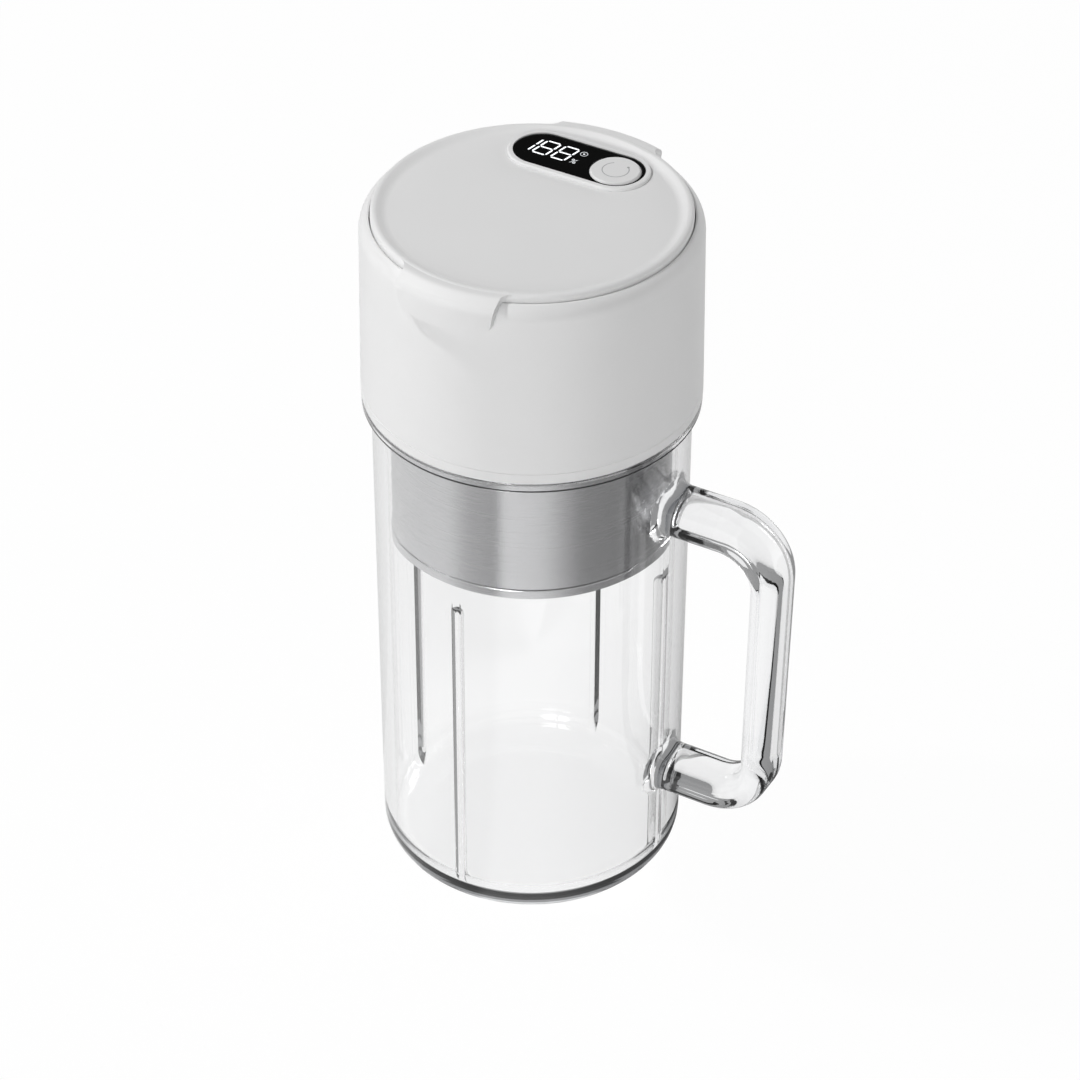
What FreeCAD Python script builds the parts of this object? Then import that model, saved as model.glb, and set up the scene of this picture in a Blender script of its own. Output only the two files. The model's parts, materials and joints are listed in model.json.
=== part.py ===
import FreeCAD, Part
import math
import os

# Portable mug blender: a clear jar with a moulded handle stands on its flat base, and a
# motor head with a steel blade skirt hangs in its mouth.  Millimetres, +Z up, +X towards
# the handle, the origin at the centre of the jar's base.  The display faces up at +Y.

V = FreeCAD.Vector
ORIGIN = V(0, 0, 0)
UP = V(0, 0, 1)

# ---- clearances -----------------------------------------------------------------------
running_fit = 0.05          # radial play of a shaft in its bush
press_gap = 0.02            # radial play drawn where a piece is pressed into another
part_gap = 0.3              # between pieces that move apart
fold_gap = 0.1              # between fixed pieces that nearly touch
overlap = 0.6               # how far a rib or lug is rooted in the wall that carries it
smallest_arc = 0.75         # a corner rounded by less than this is drawn as a flat chamfer
edge_break = 0.3            # taken off the edges of small turned and moulded pieces

# ---- jar ------------------------------------------------------------------------------
jar_top_radius = 40.05      # wall's face under the flange
jar_taper = 0.6             # the base is this much slimmer
jar_wall = 3.2
jar_floor = 5.0
jar_base_corner = 9.0
jar_floor_corner = 6.5
flange_bottom = 140.7       # height of the jar's body
flange_width = 2.35         # from the wall's face to the flange's edge
flange_thickness = 2.2
flange_edge = 0.5
neck_step = 4.2             # neck's face behind the flange's edge
neck_wall = 1.6
neck_height = 6.7
neck_edge = 0.4
rib_count = 4
rib_width = 2.6
rib_depth = 2.2
rib_skirt_gap = 6.4         # the ribs end this far below the steel skirt

jar_base_radius = jar_top_radius - jar_taper
jar_inner_bottom = jar_base_radius - jar_wall
flange_radius = jar_top_radius + flange_width
flange_top = flange_bottom + flange_thickness
neck_radius = flange_radius - neck_step
neck_inner = neck_radius - neck_wall
neck_top = flange_top + neck_height

# ---- jar handle -----------------------------------------------------------------------
handle_projection = 32.95   # outer face of the grip from the jar's wall
handle_grip = 8.6           # thickness of the grip, in and out
handle_drop = 15.5          # top of the upper arm below the flange
handle_top_arm = 10.8       # height of the upper arm
handle_bottom = 32.0        # underside of the lower arm
handle_bottom_arm = 9.8     # height of the lower arm
handle_lean = 1.6           # how far the grip's lower end stands in
handle_width = 13.6         # across
handle_outer_bend = 17.0
handle_inner_bend = 8.5
handle_edge = 3.9           # rounding along every long edge
handle_flare = 3.2          # fillet where the arms meet the jar
handle_root_depth = 5.0     # how far the blank reaches in before the jar's face trims it
bond_gap = 0.1              # cement line between handle and jar

handle_reach = jar_top_radius + handle_projection
handle_top = flange_bottom - handle_drop

# ---- bayonet between jar and head -----------------------------------------------------
head_gap = 0.3              # line between the jar's flange and the head
lug_count = 3
lug_depth = 1.2
lug_height = 2.0
lug_angle = 24.0
lug_play = 0.4              # lug above the ledge, and beside its stops
ledge_height = 2.5
ledge_gap = 0.3             # neck to ledge
entry_angle = 30.0
twist_angle = 30.0
stop_angle = 3.5
first_lug = 30.0            # bearing of the first lug from +X

lug_radius = neck_radius + lug_depth
head_bottom = flange_top + head_gap
ledge_top = head_bottom + ledge_height
lug_bottom = ledge_top + lug_play
lug_top = lug_bottom + lug_height
ledge_radius = neck_radius + ledge_gap
channel_radius = lug_radius + 0.2

# ---- motor base: the floor of the head ------------------------------------------------
base_floor_thickness = 2.5
gasket_height = 1.5
gasket_width = 2.8
gasket_gap = 0.05
base_bore_radius = 8.2
base_boss_step = 4.6        # boss behind the neck's inside
base_boss_height = 5.2
locating_rib_wall = 0.8
locating_rib_height = 1.3
motor_collar_wall = 1.8
motor_collar_height = 4.5
post_bearings = (38.0, 142.0, 270.0)
post_inset = 4.5            # post's middle from the boss's edge
post_radius = 3.4
post_height = 18.3
post_web = 1.6
screw_radius = 1.5
screw_head_radius = 2.8
screw_head_height = 1.9
base_screw_length = 16.0
skirt_screw_circle = 20.5
skirt_screw_length = 7.0
skirt_screw_first = 90.0
screw_head_gap = 0.2        # beside a sunk head, and twice this under it
screw_tip_room = 0.5

gasket_bottom = neck_top + gasket_gap
base_floor_bottom = gasket_bottom + gasket_height + gasket_gap
base_floor_top = base_floor_bottom + base_floor_thickness
boss_bottom = base_floor_bottom - base_boss_height
base_boss_radius = neck_inner - base_boss_step
post_circle = base_boss_radius - post_inset
post_top = base_floor_top + post_height

# ---- motor ----------------------------------------------------------------------------
motor_radius = 12.2
motor_length = 29.0
motor_wall = 0.9
motor_can_round = 1.0
motor_cap_height = 4.2
motor_cap_spigot = 2.0
motor_cap_wall = 1.2
motor_cap_step = 0.8        # the cap's rim below its boss
motor_cap_boss_radius = 5.4
motor_bush_radius = 3.0
motor_bush_length = 3.2
motor_rear_bush_length = 2.2
motor_nose = 1.0            # the front bush stands out of the can by this
motor_shaft_radius = 1.6
motor_front_room = 5.5      # from the can's front to the windings
motor_rear_room = 2.5       # from the commutator to the cap's top
magnet_thickness = 1.6
magnet_overhang = 1.5       # magnets longer than the core at each end
magnet_angle = 130.0
armature_gap = 1.25         # air between the armature and the magnets
armature_poles = 3
pole_stem = 3.2
pole_shoe = 1.6
pole_angle = 96.0
winding_swell = 1.5
commutator_radius = 2.7
commutator_length = 4.6
commutator_gap = 0.4        # windings to commutator
commutator_slot = 0.5
brush_width = 2.0
motor_screw_inset = 2.0     # screw's middle from the can's outside
motor_screw_bearing = 45.0
motor_screw_radius = 0.9
motor_screw_length = 2.4

armature_radius = motor_radius - motor_wall - fold_gap / 2 - magnet_thickness - armature_gap
motor_screw_circle = motor_radius - motor_screw_inset
motor_bottom = base_floor_top
motor_top = motor_bottom + motor_length
commutator_top = motor_top - motor_rear_room
commutator_bottom = commutator_top - commutator_length
armature_low = motor_bottom + motor_front_room + winding_swell
armature_high = commutator_bottom - commutator_gap - winding_swell

# ---- battery --------------------------------------------------------------------------
cell_radius = 9.15
cell_length = 34.6
cell_cap_radius = 3.0
cell_cap_height = 0.8
cell_round = 0.6
cell_headroom = 3.0         # cells to the underside of the cover
holder_wall = 1.2
holder_floor = 1.3
holder_height = 11.0
holder_gap = 0.15
holder_window = 7.0
holder_bridge = 2.4         # thickness of the strip that joins the cups
holder_bridge_height = 4.0
holder_bridge_gap = 1.0     # bridge to the motor's collar

collar_clear_radius = motor_radius + motor_collar_wall + 2 * fold_gap
cell_x = collar_clear_radius + running_fit + cell_radius
cover_underside = base_floor_top + holder_floor + cell_length + cell_headroom

# ---- motor head, outside --------------------------------------------------------------
head_lip = 0.1              # the head's face proud of the jar's flange
head_taper = 0.65           # the head is this much slimmer at its top
head_wall = 1.9
base_ring_height = 3.2
base_ring_edge = 0.5
part_line = 0.15            # chamfers that make the line between ring and housing
shoulder_round = 4.5
shoulder_flat = 0.7         # the shoulder's curve is cut off this far below its crown
shoulder_width = 2.75       # from the housing's face to the cover's edge
housing_roof = 2.2          # thickness of the shelf that carries the cover
housing_inner_round = 0.7
shelf_width = 2.9
shelf_thickness = 1.5
cover_thickness = 1.6
cover_rise = 0.8            # flat of the cover above the shoulder
cover_seam = 0.3            # line between cover and housing

head_radius = flange_radius + head_lip
head_top_radius = head_radius - head_taper
base_ring_top = head_bottom + base_ring_height
housing_inner = head_radius - head_wall
housing_inner_top = head_top_radius - head_wall
cover_top = cover_underside + cover_thickness
shoulder_top = cover_top - cover_rise
shelf_top = shoulder_top - housing_roof
cover_radius = head_top_radius - shoulder_width
shelf_inner = cover_radius - shelf_width

# ---- top cover ------------------------------------------------------------------------
rim_rise = 1.1              # crest of the rim above the flat of the cover
rim_round = 1.2
rim_foot_round = 3.0        # between the flat and the rim's inner slope
rim_slope = 30.0            # degrees
cover_spigot_depth = 4.0
cover_spigot_wall = 1.2
tab_half_width = 13.2
tab_taper = 1.0             # narrower by this at the tab's lower edge, each side
tab_length = 9.3            # from the rim's crest to the tab's lower edge
tab_thickness = 1.5
tab_round = 5.8             # lower corners, seen from the front
tab_flare = 3.5             # fillet from the rim into the tab's sides
tab_root_drop = 0.1         # the tab's top below the rim's crest, where it leaves the rim
tab_level = 1.2             # its top runs nearly level for this far past the rim's face
tab_fall = 2.3              # how far the tab's top slopes down before it turns over
tab_turn = 2.6              # rounding where the tab turns over the shoulder
tab_gap = 0.3               # tab to housing
tab_sweep = 90.0            # degrees of rim from which the tab is cut

rim_crest = cover_top + rim_rise
tab_bottom = rim_crest - tab_length

# ---- display and button ---------------------------------------------------------------
display_inset = 14.2        # the display's middle line from the cover's rear edge
display_left = -11.2        # centre of the left round end
button_x = 9.2              # centre of the right round end and of the button
window_radius = 7.4
window_thickness = 1.3
window_drop = 0.3           # window below the bezel's crest
bezel_width = 1.4
bezel_rise = 0.8
bezel_round = 0.5
bezel_ledge = 0.5
button_radius = 6.4
button_gap = 0.25
button_travel = 0.6
button_height = 3.0
button_round = 0.5
button_flange_width = 0.6
button_flange = 1.0
button_flange_gap = 0.15    # the pressed-up button's flange under the cover
button_stem_radius = 2.0

display_y = cover_radius - display_inset
bezel_top = cover_top + bezel_rise
bezel_radius = window_radius + bezel_width
window_top = bezel_top - window_drop
window_bottom = window_top - window_thickness

# ---- display board, under the cover ---------------------------------------------------
board_thickness = 1.2
board_drop = 6.2            # board's upper face below the cover
board_edge_gap = 2.2        # board's round edge from the shelf's
board_reach = 10.9          # board's front edge from the display's middle line
board_half_width = 27.0
board_post_x = 23.0
board_post_reach = 6.1      # posts from the display's middle line
board_post_radius = 2.4
board_screw_radius = 1.0
board_screw_head = 1.9
board_screw_head_height = 1.3
board_screw_spare = 1.0     # tapped hole left over above the screw
module_overhang = 5.2       # module past the display's left centre
module_button_gap = 8.4     # module's right end from the button's middle
module_half_depth = 5.0
module_wall = 0.8
switch_side = 6.0
switch_height = 3.5
switch_round = 0.6
plunger_radius = 1.6
plunger_sink = 0.3          # plunger's foot below the switch's top when pressed
plunger_reach = 0.4         # plunger's head above the switch when pressed

board_radius = shelf_inner - board_edge_gap
board_front = display_y - board_reach
board_post_y = display_y - board_post_reach
module_left = display_left - module_overhang
module_right = button_x - module_button_gap
display_board_top = cover_underside - board_drop
display_board_bottom = display_board_top - board_thickness
switch_top = display_board_top + switch_height
plunger_top = switch_top + button_travel + plunger_reach

# ---- steel skirt and the bearing under it ----------------------------------------------
skirt_gap = 1.2             # neck's inside to the skirt
skirt_wall = 0.6
skirt_height = 41.6
skirt_lip_height = 2.5
skirt_lip_rise = 0.35
skirt_round = 3.0
deck_hole_gap = 0.1
bearing_radius = 7.0
bearing_nose_radius = 5.9
bearing_nose_height = 3.0
bearing_flange_radius = 12.0
bearing_flange = 1.5
bearing_length = 21.5       # below the deck's upper face
bush_radius = 4.0
bush_length = 6.0
bearing_waist = 3.1
seal_radius = 5.0
seal_length = 4.2
seal_sink = 0.2             # lip above the bearing's mouth
seal_lip_width = 0.8
seal_lip_height = 2.0
seal_relief = 0.6           # sleeve clear of the spindle above the lip

skirt_radius = neck_inner - skirt_gap
deck_top = boss_bottom
deck_bottom = deck_top - skirt_wall
skirt_bottom = deck_top - skirt_height
bearing_bottom = deck_top - bearing_length
rib_top = skirt_bottom - rib_skirt_gap

# ---- blades ---------------------------------------------------------------------------
spindle_radius = 2.5
spindle_thread_radius = 2.0
spindle_flat = 0.5          # depth of the flat that keys the blades
blade_thickness = 1.0
blade_reach = 27.5
blade_root = 5.2            # half width of a blade at its hub, behind its middle line
blade_lead = 4.7            # and on the leading side
blade_tip_width = 4.6
blade_tip_set = 1.0         # the tip's leading corner stands back by this
blade_tip_round = 2.0
blade_root_round = 2.5
blade_sweep = 4.0           # how far the tip trails
blade_bevel = 2.2           # width of the ground edge
lower_blade_drop = 5.2
upper_blade_rise = 6.2
blade_flat = 6.5            # flat part of a blade, from the axis
blade_spacing = 1.8
nut_flats = 8.0
nut_height = 3.4
nut_dome = 1.1              # height of the dome under the nut
nut_dome_radius = 3.4
nut_dome_round = 1.6
hub_radius = 4.3
hub_length = 7.1
hub_gap = 0.8               # hub below the shaft seal
slinger_width = 1.0
coupling_radius = 4.2
coupling_gap = 0.5          # coupling above the bearing's flange
coupling_screw_radius = 0.8

hub_top = bearing_bottom - hub_gap
hub_bottom = hub_top - hub_length
upper_blade_height = hub_bottom - blade_thickness
lower_blade_height = upper_blade_height - blade_spacing - blade_thickness
coupling_bottom = deck_top + bearing_flange + coupling_gap
coupling_top = motor_bottom - motor_nose - fold_gap
coupling_middle = (coupling_bottom + coupling_top) / 2

# ---- charging port --------------------------------------------------------------------
port_rise = 11.3            # port's middle above the floor
port_inset = 2.8            # socket's mouth behind the housing's face
port_width = 8.94
port_thickness = 3.26
port_shell = 0.3
port_wall = 0.8             # back wall of the socket
port_depth = 5.6
port_tongue_width = 6.7
port_tongue = 0.7
port_hole_gap = 0.35
charge_board_half_width = 12.0
charge_board_rise = 2.3     # board's lower edge above the floor
charge_board_height = 17.0
board_guide_wall = 1.2
board_guide_grip = 2.2      # how far a guide reaches over the board's edge
board_guide_height = 14.0
flap_width = 16.0
flap_height = 8.0
flap_round = 2.2
flap_thickness = 1.0
flap_recess = 0.9
flap_edge_gap = 0.35
flap_nib_width = 8.2
flap_nib_height = 2.5
flap_nib_depth = 1.0

port_height = base_floor_top + port_rise
port_front = head_radius - port_inset
port_back = port_front - port_depth
charge_board_low = base_floor_top + charge_board_rise
charge_board_high = charge_board_low + charge_board_height


# ---- drawing helpers ------------------------------------------------------------------
def in_xz(across, along):
    return V(across, 0, along)


def in_xy(across, along):
    return V(across, along, 0)


def rounded_corner(before, here, after, radius):
    """Start, middle and end of the arc that rounds one corner, no longer than its sides."""
    to_before = (before - here).normalize()
    to_after = (after - here).normalize()
    half_angle = to_before.getAngle(to_after) / 2
    side = min((before - here).Length, (after - here).Length)
    reach = min(radius / math.tan(half_angle), side / 2)
    radius = reach * math.tan(half_angle)
    towards_centre = (to_before + to_after).normalize()
    centre = here + towards_centre * (radius / math.sin(half_angle))
    return here + to_before * reach, centre - towards_centre * radius, here + to_after * reach


def outline(corners, plane):
    """Closed wire through corners (across, along) or (across, along, radius).

    A radius under smallest_arc leaves a chamfer, a larger one a tangent arc.
    """
    points = [plane(corner[0], corner[1]) for corner in corners]
    joins = []
    for index, corner in enumerate(corners):
        here = points[index]
        if len(corner) == 2:
            joins.append((here, here, here))
        else:
            after = points[(index + 1) % len(points)]
            joins.append(rounded_corner(points[index - 1], here, after, corner[2]))
    edges = []
    for index, (start, middle, end) in enumerate(joins):
        if (end - start).Length > 1e-6:
            small = len(corners[index]) > 2 and corners[index][2] < smallest_arc
            curve = Part.LineSegment(start, end) if small else Part.Arc(start, middle, end)
            edges.append(curve.toShape())
        following = joins[(index + 1) % len(joins)][0]
        if (following - end).Length > 1e-6:
            edges.append(Part.LineSegment(end, following).toShape())
    return Part.Wire(edges)


def turned(corners, angle=360.0, first=0.0):
    """A profile in radius and height, turned about the axis of the blender."""
    solid = Part.Face(outline(corners, in_xz)).revolve(ORIGIN, UP, angle)
    solid.rotate(ORIGIN, UP, first)
    return solid


def upright(corners, low, high):
    """A plan outline raised from low to high."""
    solid = Part.Face(outline(corners, in_xy)).extrude(V(0, 0, high - low))
    solid.translate(V(0, 0, low))
    return solid


def crosswise(corners, half_width):
    """A side outline drawn in X and Z, as thick as twice half_width in Y."""
    solid = Part.Face(outline(corners, in_xz)).extrude(V(0, 2 * half_width, 0))
    solid.translate(V(0, -half_width, 0))
    return solid


def rod(radius, low, high, x=0.0, y=0.0):
    return Part.makeCylinder(radius, high - low, V(x, y, low))


def pipe(outer, inner, low, high, x=0.0, y=0.0):
    return rod(outer, low, high, x, y).cut(rod(inner, low, high, x, y))


def block(x_low, x_high, y_low, y_high, z_low, z_high):
    size = V(x_high - x_low, y_high - y_low, z_high - z_low)
    return Part.makeBox(size.x, size.y, size.z, V(x_low, y_low, z_low))


def turned_to(shape, bearing):
    copy = shape.copy()
    copy.rotate(ORIGIN, UP, bearing)
    return copy


def around(shape, count, first=0.0):
    """Copies of a shape, evenly spaced about the axis."""
    return [turned_to(shape, first + index * 360.0 / count) for index in range(count)]


def on_circle(circle, bearing):
    angle = math.radians(bearing)
    return circle * math.cos(angle), circle * math.sin(angle)


def pill(radius, low, high):
    """The display's outline: two round ends joined by straight sides."""
    ends = [(display_left - radius, display_y - radius), (button_x + radius, display_y - radius),
            (button_x + radius, display_y + radius), (display_left - radius, display_y + radius)]
    return upright([(x, y, radius) for x, y in ends], low, high)


def jar_body_radius(height):
    """Outside radius of the jar's tapered wall at a height."""
    return jar_base_radius + (jar_top_radius - jar_base_radius) * height / flange_bottom


def housing_radius(height):
    """Outside radius of the tapered housing at a height."""
    share = (height - base_ring_top) / (shoulder_top + shoulder_flat - base_ring_top)
    return head_radius + (head_top_radius - head_radius) * share


def housing_form(grown):
    """The housing's outside as a solid, grown by a gap."""
    crown = shoulder_top + shoulder_flat + grown
    form = turned([(0, base_ring_top), (head_radius + grown, base_ring_top, part_line),
                   (head_top_radius + grown, crown, shoulder_round + grown), (0, crown)])
    return form.common(rod(2 * head_radius, base_ring_top, shoulder_top + grown))


def screw(radius, head_radius, head_height, length, seat, x, y):
    """A pan head screw driven upwards, with its head below the seat and a socket in it."""
    head = turned([(0, -head_height), (head_radius, -head_height, smallest_arc / 2),
                   (head_radius, 0), (0, 0)])
    socket = rod(head_radius * 0.45, -head_height, -head_height / 2)
    body = head.cut(socket).fuse(rod(radius, 0, length))
    body.translate(V(x, y, seat))
    return body.removeSplitter()


# ---- jar ------------------------------------------------------------------------------
def jar_form(grown):
    """The jar's outside below its flange as a solid, grown by a gap."""
    return turned([(0, 0), (jar_base_radius + grown, 0, jar_base_corner),
                   (jar_top_radius + grown, flange_bottom), (0, flange_bottom)])


def jar_rib():
    nose = jar_inner_bottom - rib_depth
    root = jar_inner_bottom + overlap
    half = rib_width / 2
    plan = upright([(nose, -half, half * 0.8), (root, -half), (root, half), (nose, half, half * 0.8)],
                   jar_floor - overlap, rib_top)
    side = crosswise([(nose, jar_floor - overlap), (root, jar_floor - overlap), (root, rib_top),
                      (nose, rib_top, rib_depth)], rib_width)
    return plan.common(side)


def jar():
    shell = turned([(0, 0), (jar_base_radius, 0, jar_base_corner),
                    (jar_top_radius, flange_bottom, flange_edge),
                    (flange_radius, flange_bottom, flange_edge),
                    (flange_radius, flange_top, flange_edge), (neck_radius, flange_top),
                    (neck_radius, neck_top, neck_edge), (neck_inner, neck_top, neck_edge),
                    (jar_inner_bottom, jar_floor, jar_floor_corner), (0, jar_floor)])
    lug = turned([(neck_radius - overlap, lug_bottom), (lug_radius, lug_bottom, neck_edge),
                  (lug_radius, lug_top, neck_edge), (neck_radius - overlap, lug_top)],
                 lug_angle, -lug_angle / 2)
    ribs = around(jar_rib(), rib_count)
    return shell.fuse(ribs + around(lug, lug_count, first_lug))


def jar_handle():
    root = jar_base_radius - handle_root_depth
    inner_reach = handle_reach - handle_grip
    outer = [(root, handle_top), (handle_reach, handle_top, handle_outer_bend),
             (handle_reach - handle_lean, handle_bottom, handle_outer_bend), (root, handle_bottom)]
    inner = [(root, handle_bottom + handle_bottom_arm),
             (inner_reach - handle_lean / 2, handle_bottom + handle_bottom_arm, handle_inner_bend),
             (inner_reach, handle_top - handle_top_arm, handle_inner_bend),
             (root, handle_top - handle_top_arm)]
    blank = crosswise(outer + inner, handle_width / 2)
    long_edges = [edge for edge in blank.Edges
                  if edge.BoundBox.XMax > root + 1e-3 and abs(edge.BoundBox.Center.y) > handle_width / 4]
    blank = blank.makeFillet(min(handle_edge, handle_grip / 2 - fold_gap), long_edges)
    joined = blank.fuse(jar_form(0)).removeSplitter()
    seam = [edge for edge in joined.Edges if is_handle_seam(edge)]
    return joined.makeFillet(handle_flare, seam).cut(jar_form(bond_gap))


def is_handle_seam(edge):
    """True for an edge where a handle arm meets the jar's wall."""
    box = edge.BoundBox
    for parameter in edge.ParameterRange:
        point = edge.valueAt(parameter)
        if abs(math.hypot(point.x, point.y) - jar_body_radius(point.z)) > 0.01:
            return False
    near_handle = box.XMin > 0 and box.YLength < handle_width + 1
    return near_handle and handle_bottom - 1 < box.ZMin and box.ZMax < handle_top + 1


# ---- head: outside --------------------------------------------------------------------
def base_ring():
    ring = turned([(ledge_radius, head_bottom), (head_radius, head_bottom, base_ring_edge),
                   (head_radius, base_ring_top, part_line),
                   (housing_inner - fold_gap, base_ring_top),
                   (housing_inner - fold_gap, base_floor_bottom - fold_gap),
                   (channel_radius, base_floor_bottom - fold_gap), (channel_radius, ledge_top),
                   (ledge_radius, ledge_top)])
    entry = turned([(ledge_radius - 1, head_bottom - 1), (channel_radius, head_bottom - 1),
                    (channel_radius, ledge_top + 1), (ledge_radius - 1, ledge_top + 1)],
                   entry_angle, -entry_angle / 2)
    ring = ring.cut(Part.makeCompound(around(entry, lug_count, first_lug)))
    stop_radius = channel_radius + overlap / 2
    stop = turned([(ledge_radius, ledge_top - overlap), (stop_radius, ledge_top - overlap),
                   (stop_radius, lug_top), (ledge_radius, lug_top)], stop_angle)
    play = math.degrees(lug_play / lug_radius)
    back_stop = around(stop, lug_count, first_lug + lug_angle / 2 + play)
    end_bearing = first_lug - lug_angle / 2 - twist_angle - play - stop_angle
    return ring.fuse(back_stop + around(stop, lug_count, end_bearing))


def head_housing():
    inner_top = shelf_top - shelf_thickness
    hollow = turned([(0, base_ring_top), (housing_inner, base_ring_top),
                     (housing_inner_top, inner_top, housing_inner_round), (0, inner_top)])
    shell = housing_form(0).cut(hollow)
    shell = shell.cut(rod(shelf_inner, inner_top - 1, shoulder_top + 1))
    shell = shell.cut(rod(cover_radius + cover_seam, shelf_top, shoulder_top + 1))
    shell = shell.fuse([screw_post(bearing) for bearing in post_bearings])
    hole = port_opening(port_width / 2 + port_hole_gap, port_thickness / 2 + port_hole_gap,
                        port_front - 1, head_radius + 1)
    return shell.cut(hole).cut(flap_form(flap_edge_gap, -flap_recess, head_wall))


def screw_post(bearing):
    """A tapped post on a web from the housing's wall, for one base screw."""
    post = rod(post_radius, base_floor_top, post_top, post_circle, 0)
    web_end = housing_inner_top + overlap
    web = block(post_circle, web_end, -post_web / 2, post_web / 2, base_floor_top + overlap,
                post_top - post_web)
    tapped = rod(screw_radius + press_gap, base_floor_top, post_top - post_web, post_circle, 0)
    return turned_to(post.fuse(web).cut(tapped), bearing)


def port_opening(half_width, half_height, y_low, y_high):
    """A slot with round ends through the rear wall at the port."""
    corners = [(-half_width, port_height - half_height, half_height),
               (half_width, port_height - half_height, half_height),
               (half_width, port_height + half_height, half_height),
               (-half_width, port_height + half_height, half_height)]
    slot = Part.Face(outline(corners, in_xz)).extrude(V(0, y_high - y_low, 0))
    slot.translate(V(0, y_low, 0))
    return slot


def flap_form(grown, depth_low, depth_high):
    """A patch of the rear wall with round corners, between two depths from its face."""
    half_width = flap_width / 2 + grown
    half_height = flap_height / 2 + grown
    corners = [(x, port_height + z, flap_round)
               for x, z in ((-half_width, -half_height), (half_width, -half_height),
                            (half_width, half_height), (-half_width, half_height))]
    patch = Part.Face(outline(corners, in_xz)).extrude(V(0, 2 * head_radius, 0))
    face = housing_radius(port_height)
    return patch.common(pipe(face + depth_high, face + depth_low, port_height - flap_height,
                             port_height + flap_height))


# ---- head: cover, display and button --------------------------------------------------
def cover_tab():
    """The finger tab at -Y: a tongue from the rim over the shoulder and down the side."""
    outer = housing_radius(tab_bottom) + tab_gap + tab_thickness
    root = cover_radius - rim_round
    root_height = rim_crest - tab_root_drop
    turn_height = rim_crest - tab_fall
    strip = turned([(root, tab_bottom), (outer, tab_bottom), (outer, turn_height, tab_turn),
                    (cover_radius + tab_level, root_height, tab_turn), (root, root_height)],
                   tab_sweep, -90.0 - tab_sweep / 2)
    rim_y = -math.sqrt(cover_radius ** 2 - tab_half_width ** 2)
    ear = tab_half_width + 2 * tab_flare
    ear_y = -math.sqrt(root ** 2 - ear ** 2)
    front = -outer - 1
    plan = upright([(ear, -root / 2), (ear, ear_y), (tab_half_width, rim_y, tab_flare),
                    (tab_half_width, front), (-tab_half_width, front),
                    (-tab_half_width, rim_y, tab_flare), (-ear, ear_y), (-ear, -root / 2)],
                   tab_bottom, rim_crest)
    low_half = tab_half_width - tab_taper
    face = Part.Face(outline([(-low_half, tab_bottom, tab_round), (low_half, tab_bottom, tab_round),
                              (tab_half_width, turn_height), (ear, turn_height), (ear, rim_crest),
                              (-ear, rim_crest), (-ear, turn_height), (-tab_half_width, turn_height)],
                             in_xz)).extrude(V(0, front, 0))
    tab = strip.common(plan).common(face)
    return tab.cut(housing_form(tab_gap))


def rim_corner():
    """Height where the rim's inner slope meets its outer face, before the crest is rounded."""
    slope = math.radians(rim_slope)
    return rim_crest + rim_round * (math.tan(slope) + 1 / math.cos(slope) - 1)


def top_cover():
    spigot = shelf_inner - fold_gap
    slope_foot = cover_radius - (rim_corner() - cover_top) / math.tan(math.radians(rim_slope))
    disc = turned([(0, cover_top), (slope_foot, cover_top, rim_foot_round),
                   (cover_radius, rim_corner(), rim_round), (cover_radius, shelf_top),
                   (spigot, shelf_top), (spigot, cover_underside - cover_spigot_depth),
                   (spigot - cover_spigot_wall, cover_underside - cover_spigot_depth),
                   (spigot - cover_spigot_wall, cover_underside), (0, cover_underside)])
    tab = cover_tab()
    posts = []
    for side in (-1, 1):
        post = rod(board_post_radius, display_board_top, cover_underside + overlap,
                   side * board_post_x, board_post_y)
        tapped = rod(board_screw_radius + press_gap, display_board_top, cover_underside,
                     side * board_post_x, board_post_y)
        posts.append(post.cut(tapped))
    cover = disc.fuse([tab, turned_to(tab, 180)] + posts)
    return cover.cut(pill(bezel_radius + fold_gap / 2, cover_underside, bezel_top))


def display_bezel():
    crest = pill(bezel_radius, cover_underside, bezel_top)
    top_edges = [edge for edge in crest.Edges if edge.BoundBox.ZMin > bezel_top - 1e-3]
    ring = crest.makeFillet(bezel_round, top_edges)
    ring = ring.cut(pill(window_radius + fold_gap / 2, window_bottom, bezel_top))
    return ring.cut(pill(window_radius - bezel_ledge, cover_underside, window_bottom))


def display_window():
    hole = rod(button_radius + button_gap, window_bottom, window_top, button_x, display_y)
    return pill(window_radius, window_bottom, window_top).cut(hole)


def power_button():
    bottom = bezel_top - button_height
    flange_radius_here = button_radius + button_flange_width
    flange_top_here = cover_underside - button_flange_gap
    cap = turned([(0, bezel_top), (button_radius, bezel_top, button_round),
                  (button_radius, flange_top_here), (flange_radius_here, flange_top_here),
                  (flange_radius_here, flange_top_here - button_flange),
                  (button_stem_radius, bottom), (button_stem_radius, plunger_top), (0, plunger_top)])
    cap.translate(V(button_x, display_y, 0))
    return cap


def switch_plunger():
    low = switch_top - button_travel - plunger_sink
    return rod(plunger_radius, low, plunger_top, button_x, display_y)


def tact_switch():
    half = switch_side / 2
    corners = ((-half, -half), (half, -half), (half, half), (-half, half))
    body = upright([(x, y, switch_round) for x, y in corners], display_board_top, switch_top)
    body.translate(V(button_x, display_y, 0))
    well = switch_top - 2 * (button_travel + plunger_sink)
    return body.cut(rod(plunger_radius + running_fit, well, switch_top, button_x, display_y))


def display_board():
    sheet = rod(board_radius, display_board_bottom, display_board_top)
    sheet = sheet.common(block(-board_half_width, board_half_width, board_front, board_radius,
                               display_board_bottom, display_board_top))
    for side in (-1, 1):
        sheet = sheet.cut(rod(board_screw_radius + press_gap, display_board_bottom, display_board_top,
                              side * board_post_x, board_post_y))
    return sheet


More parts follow.
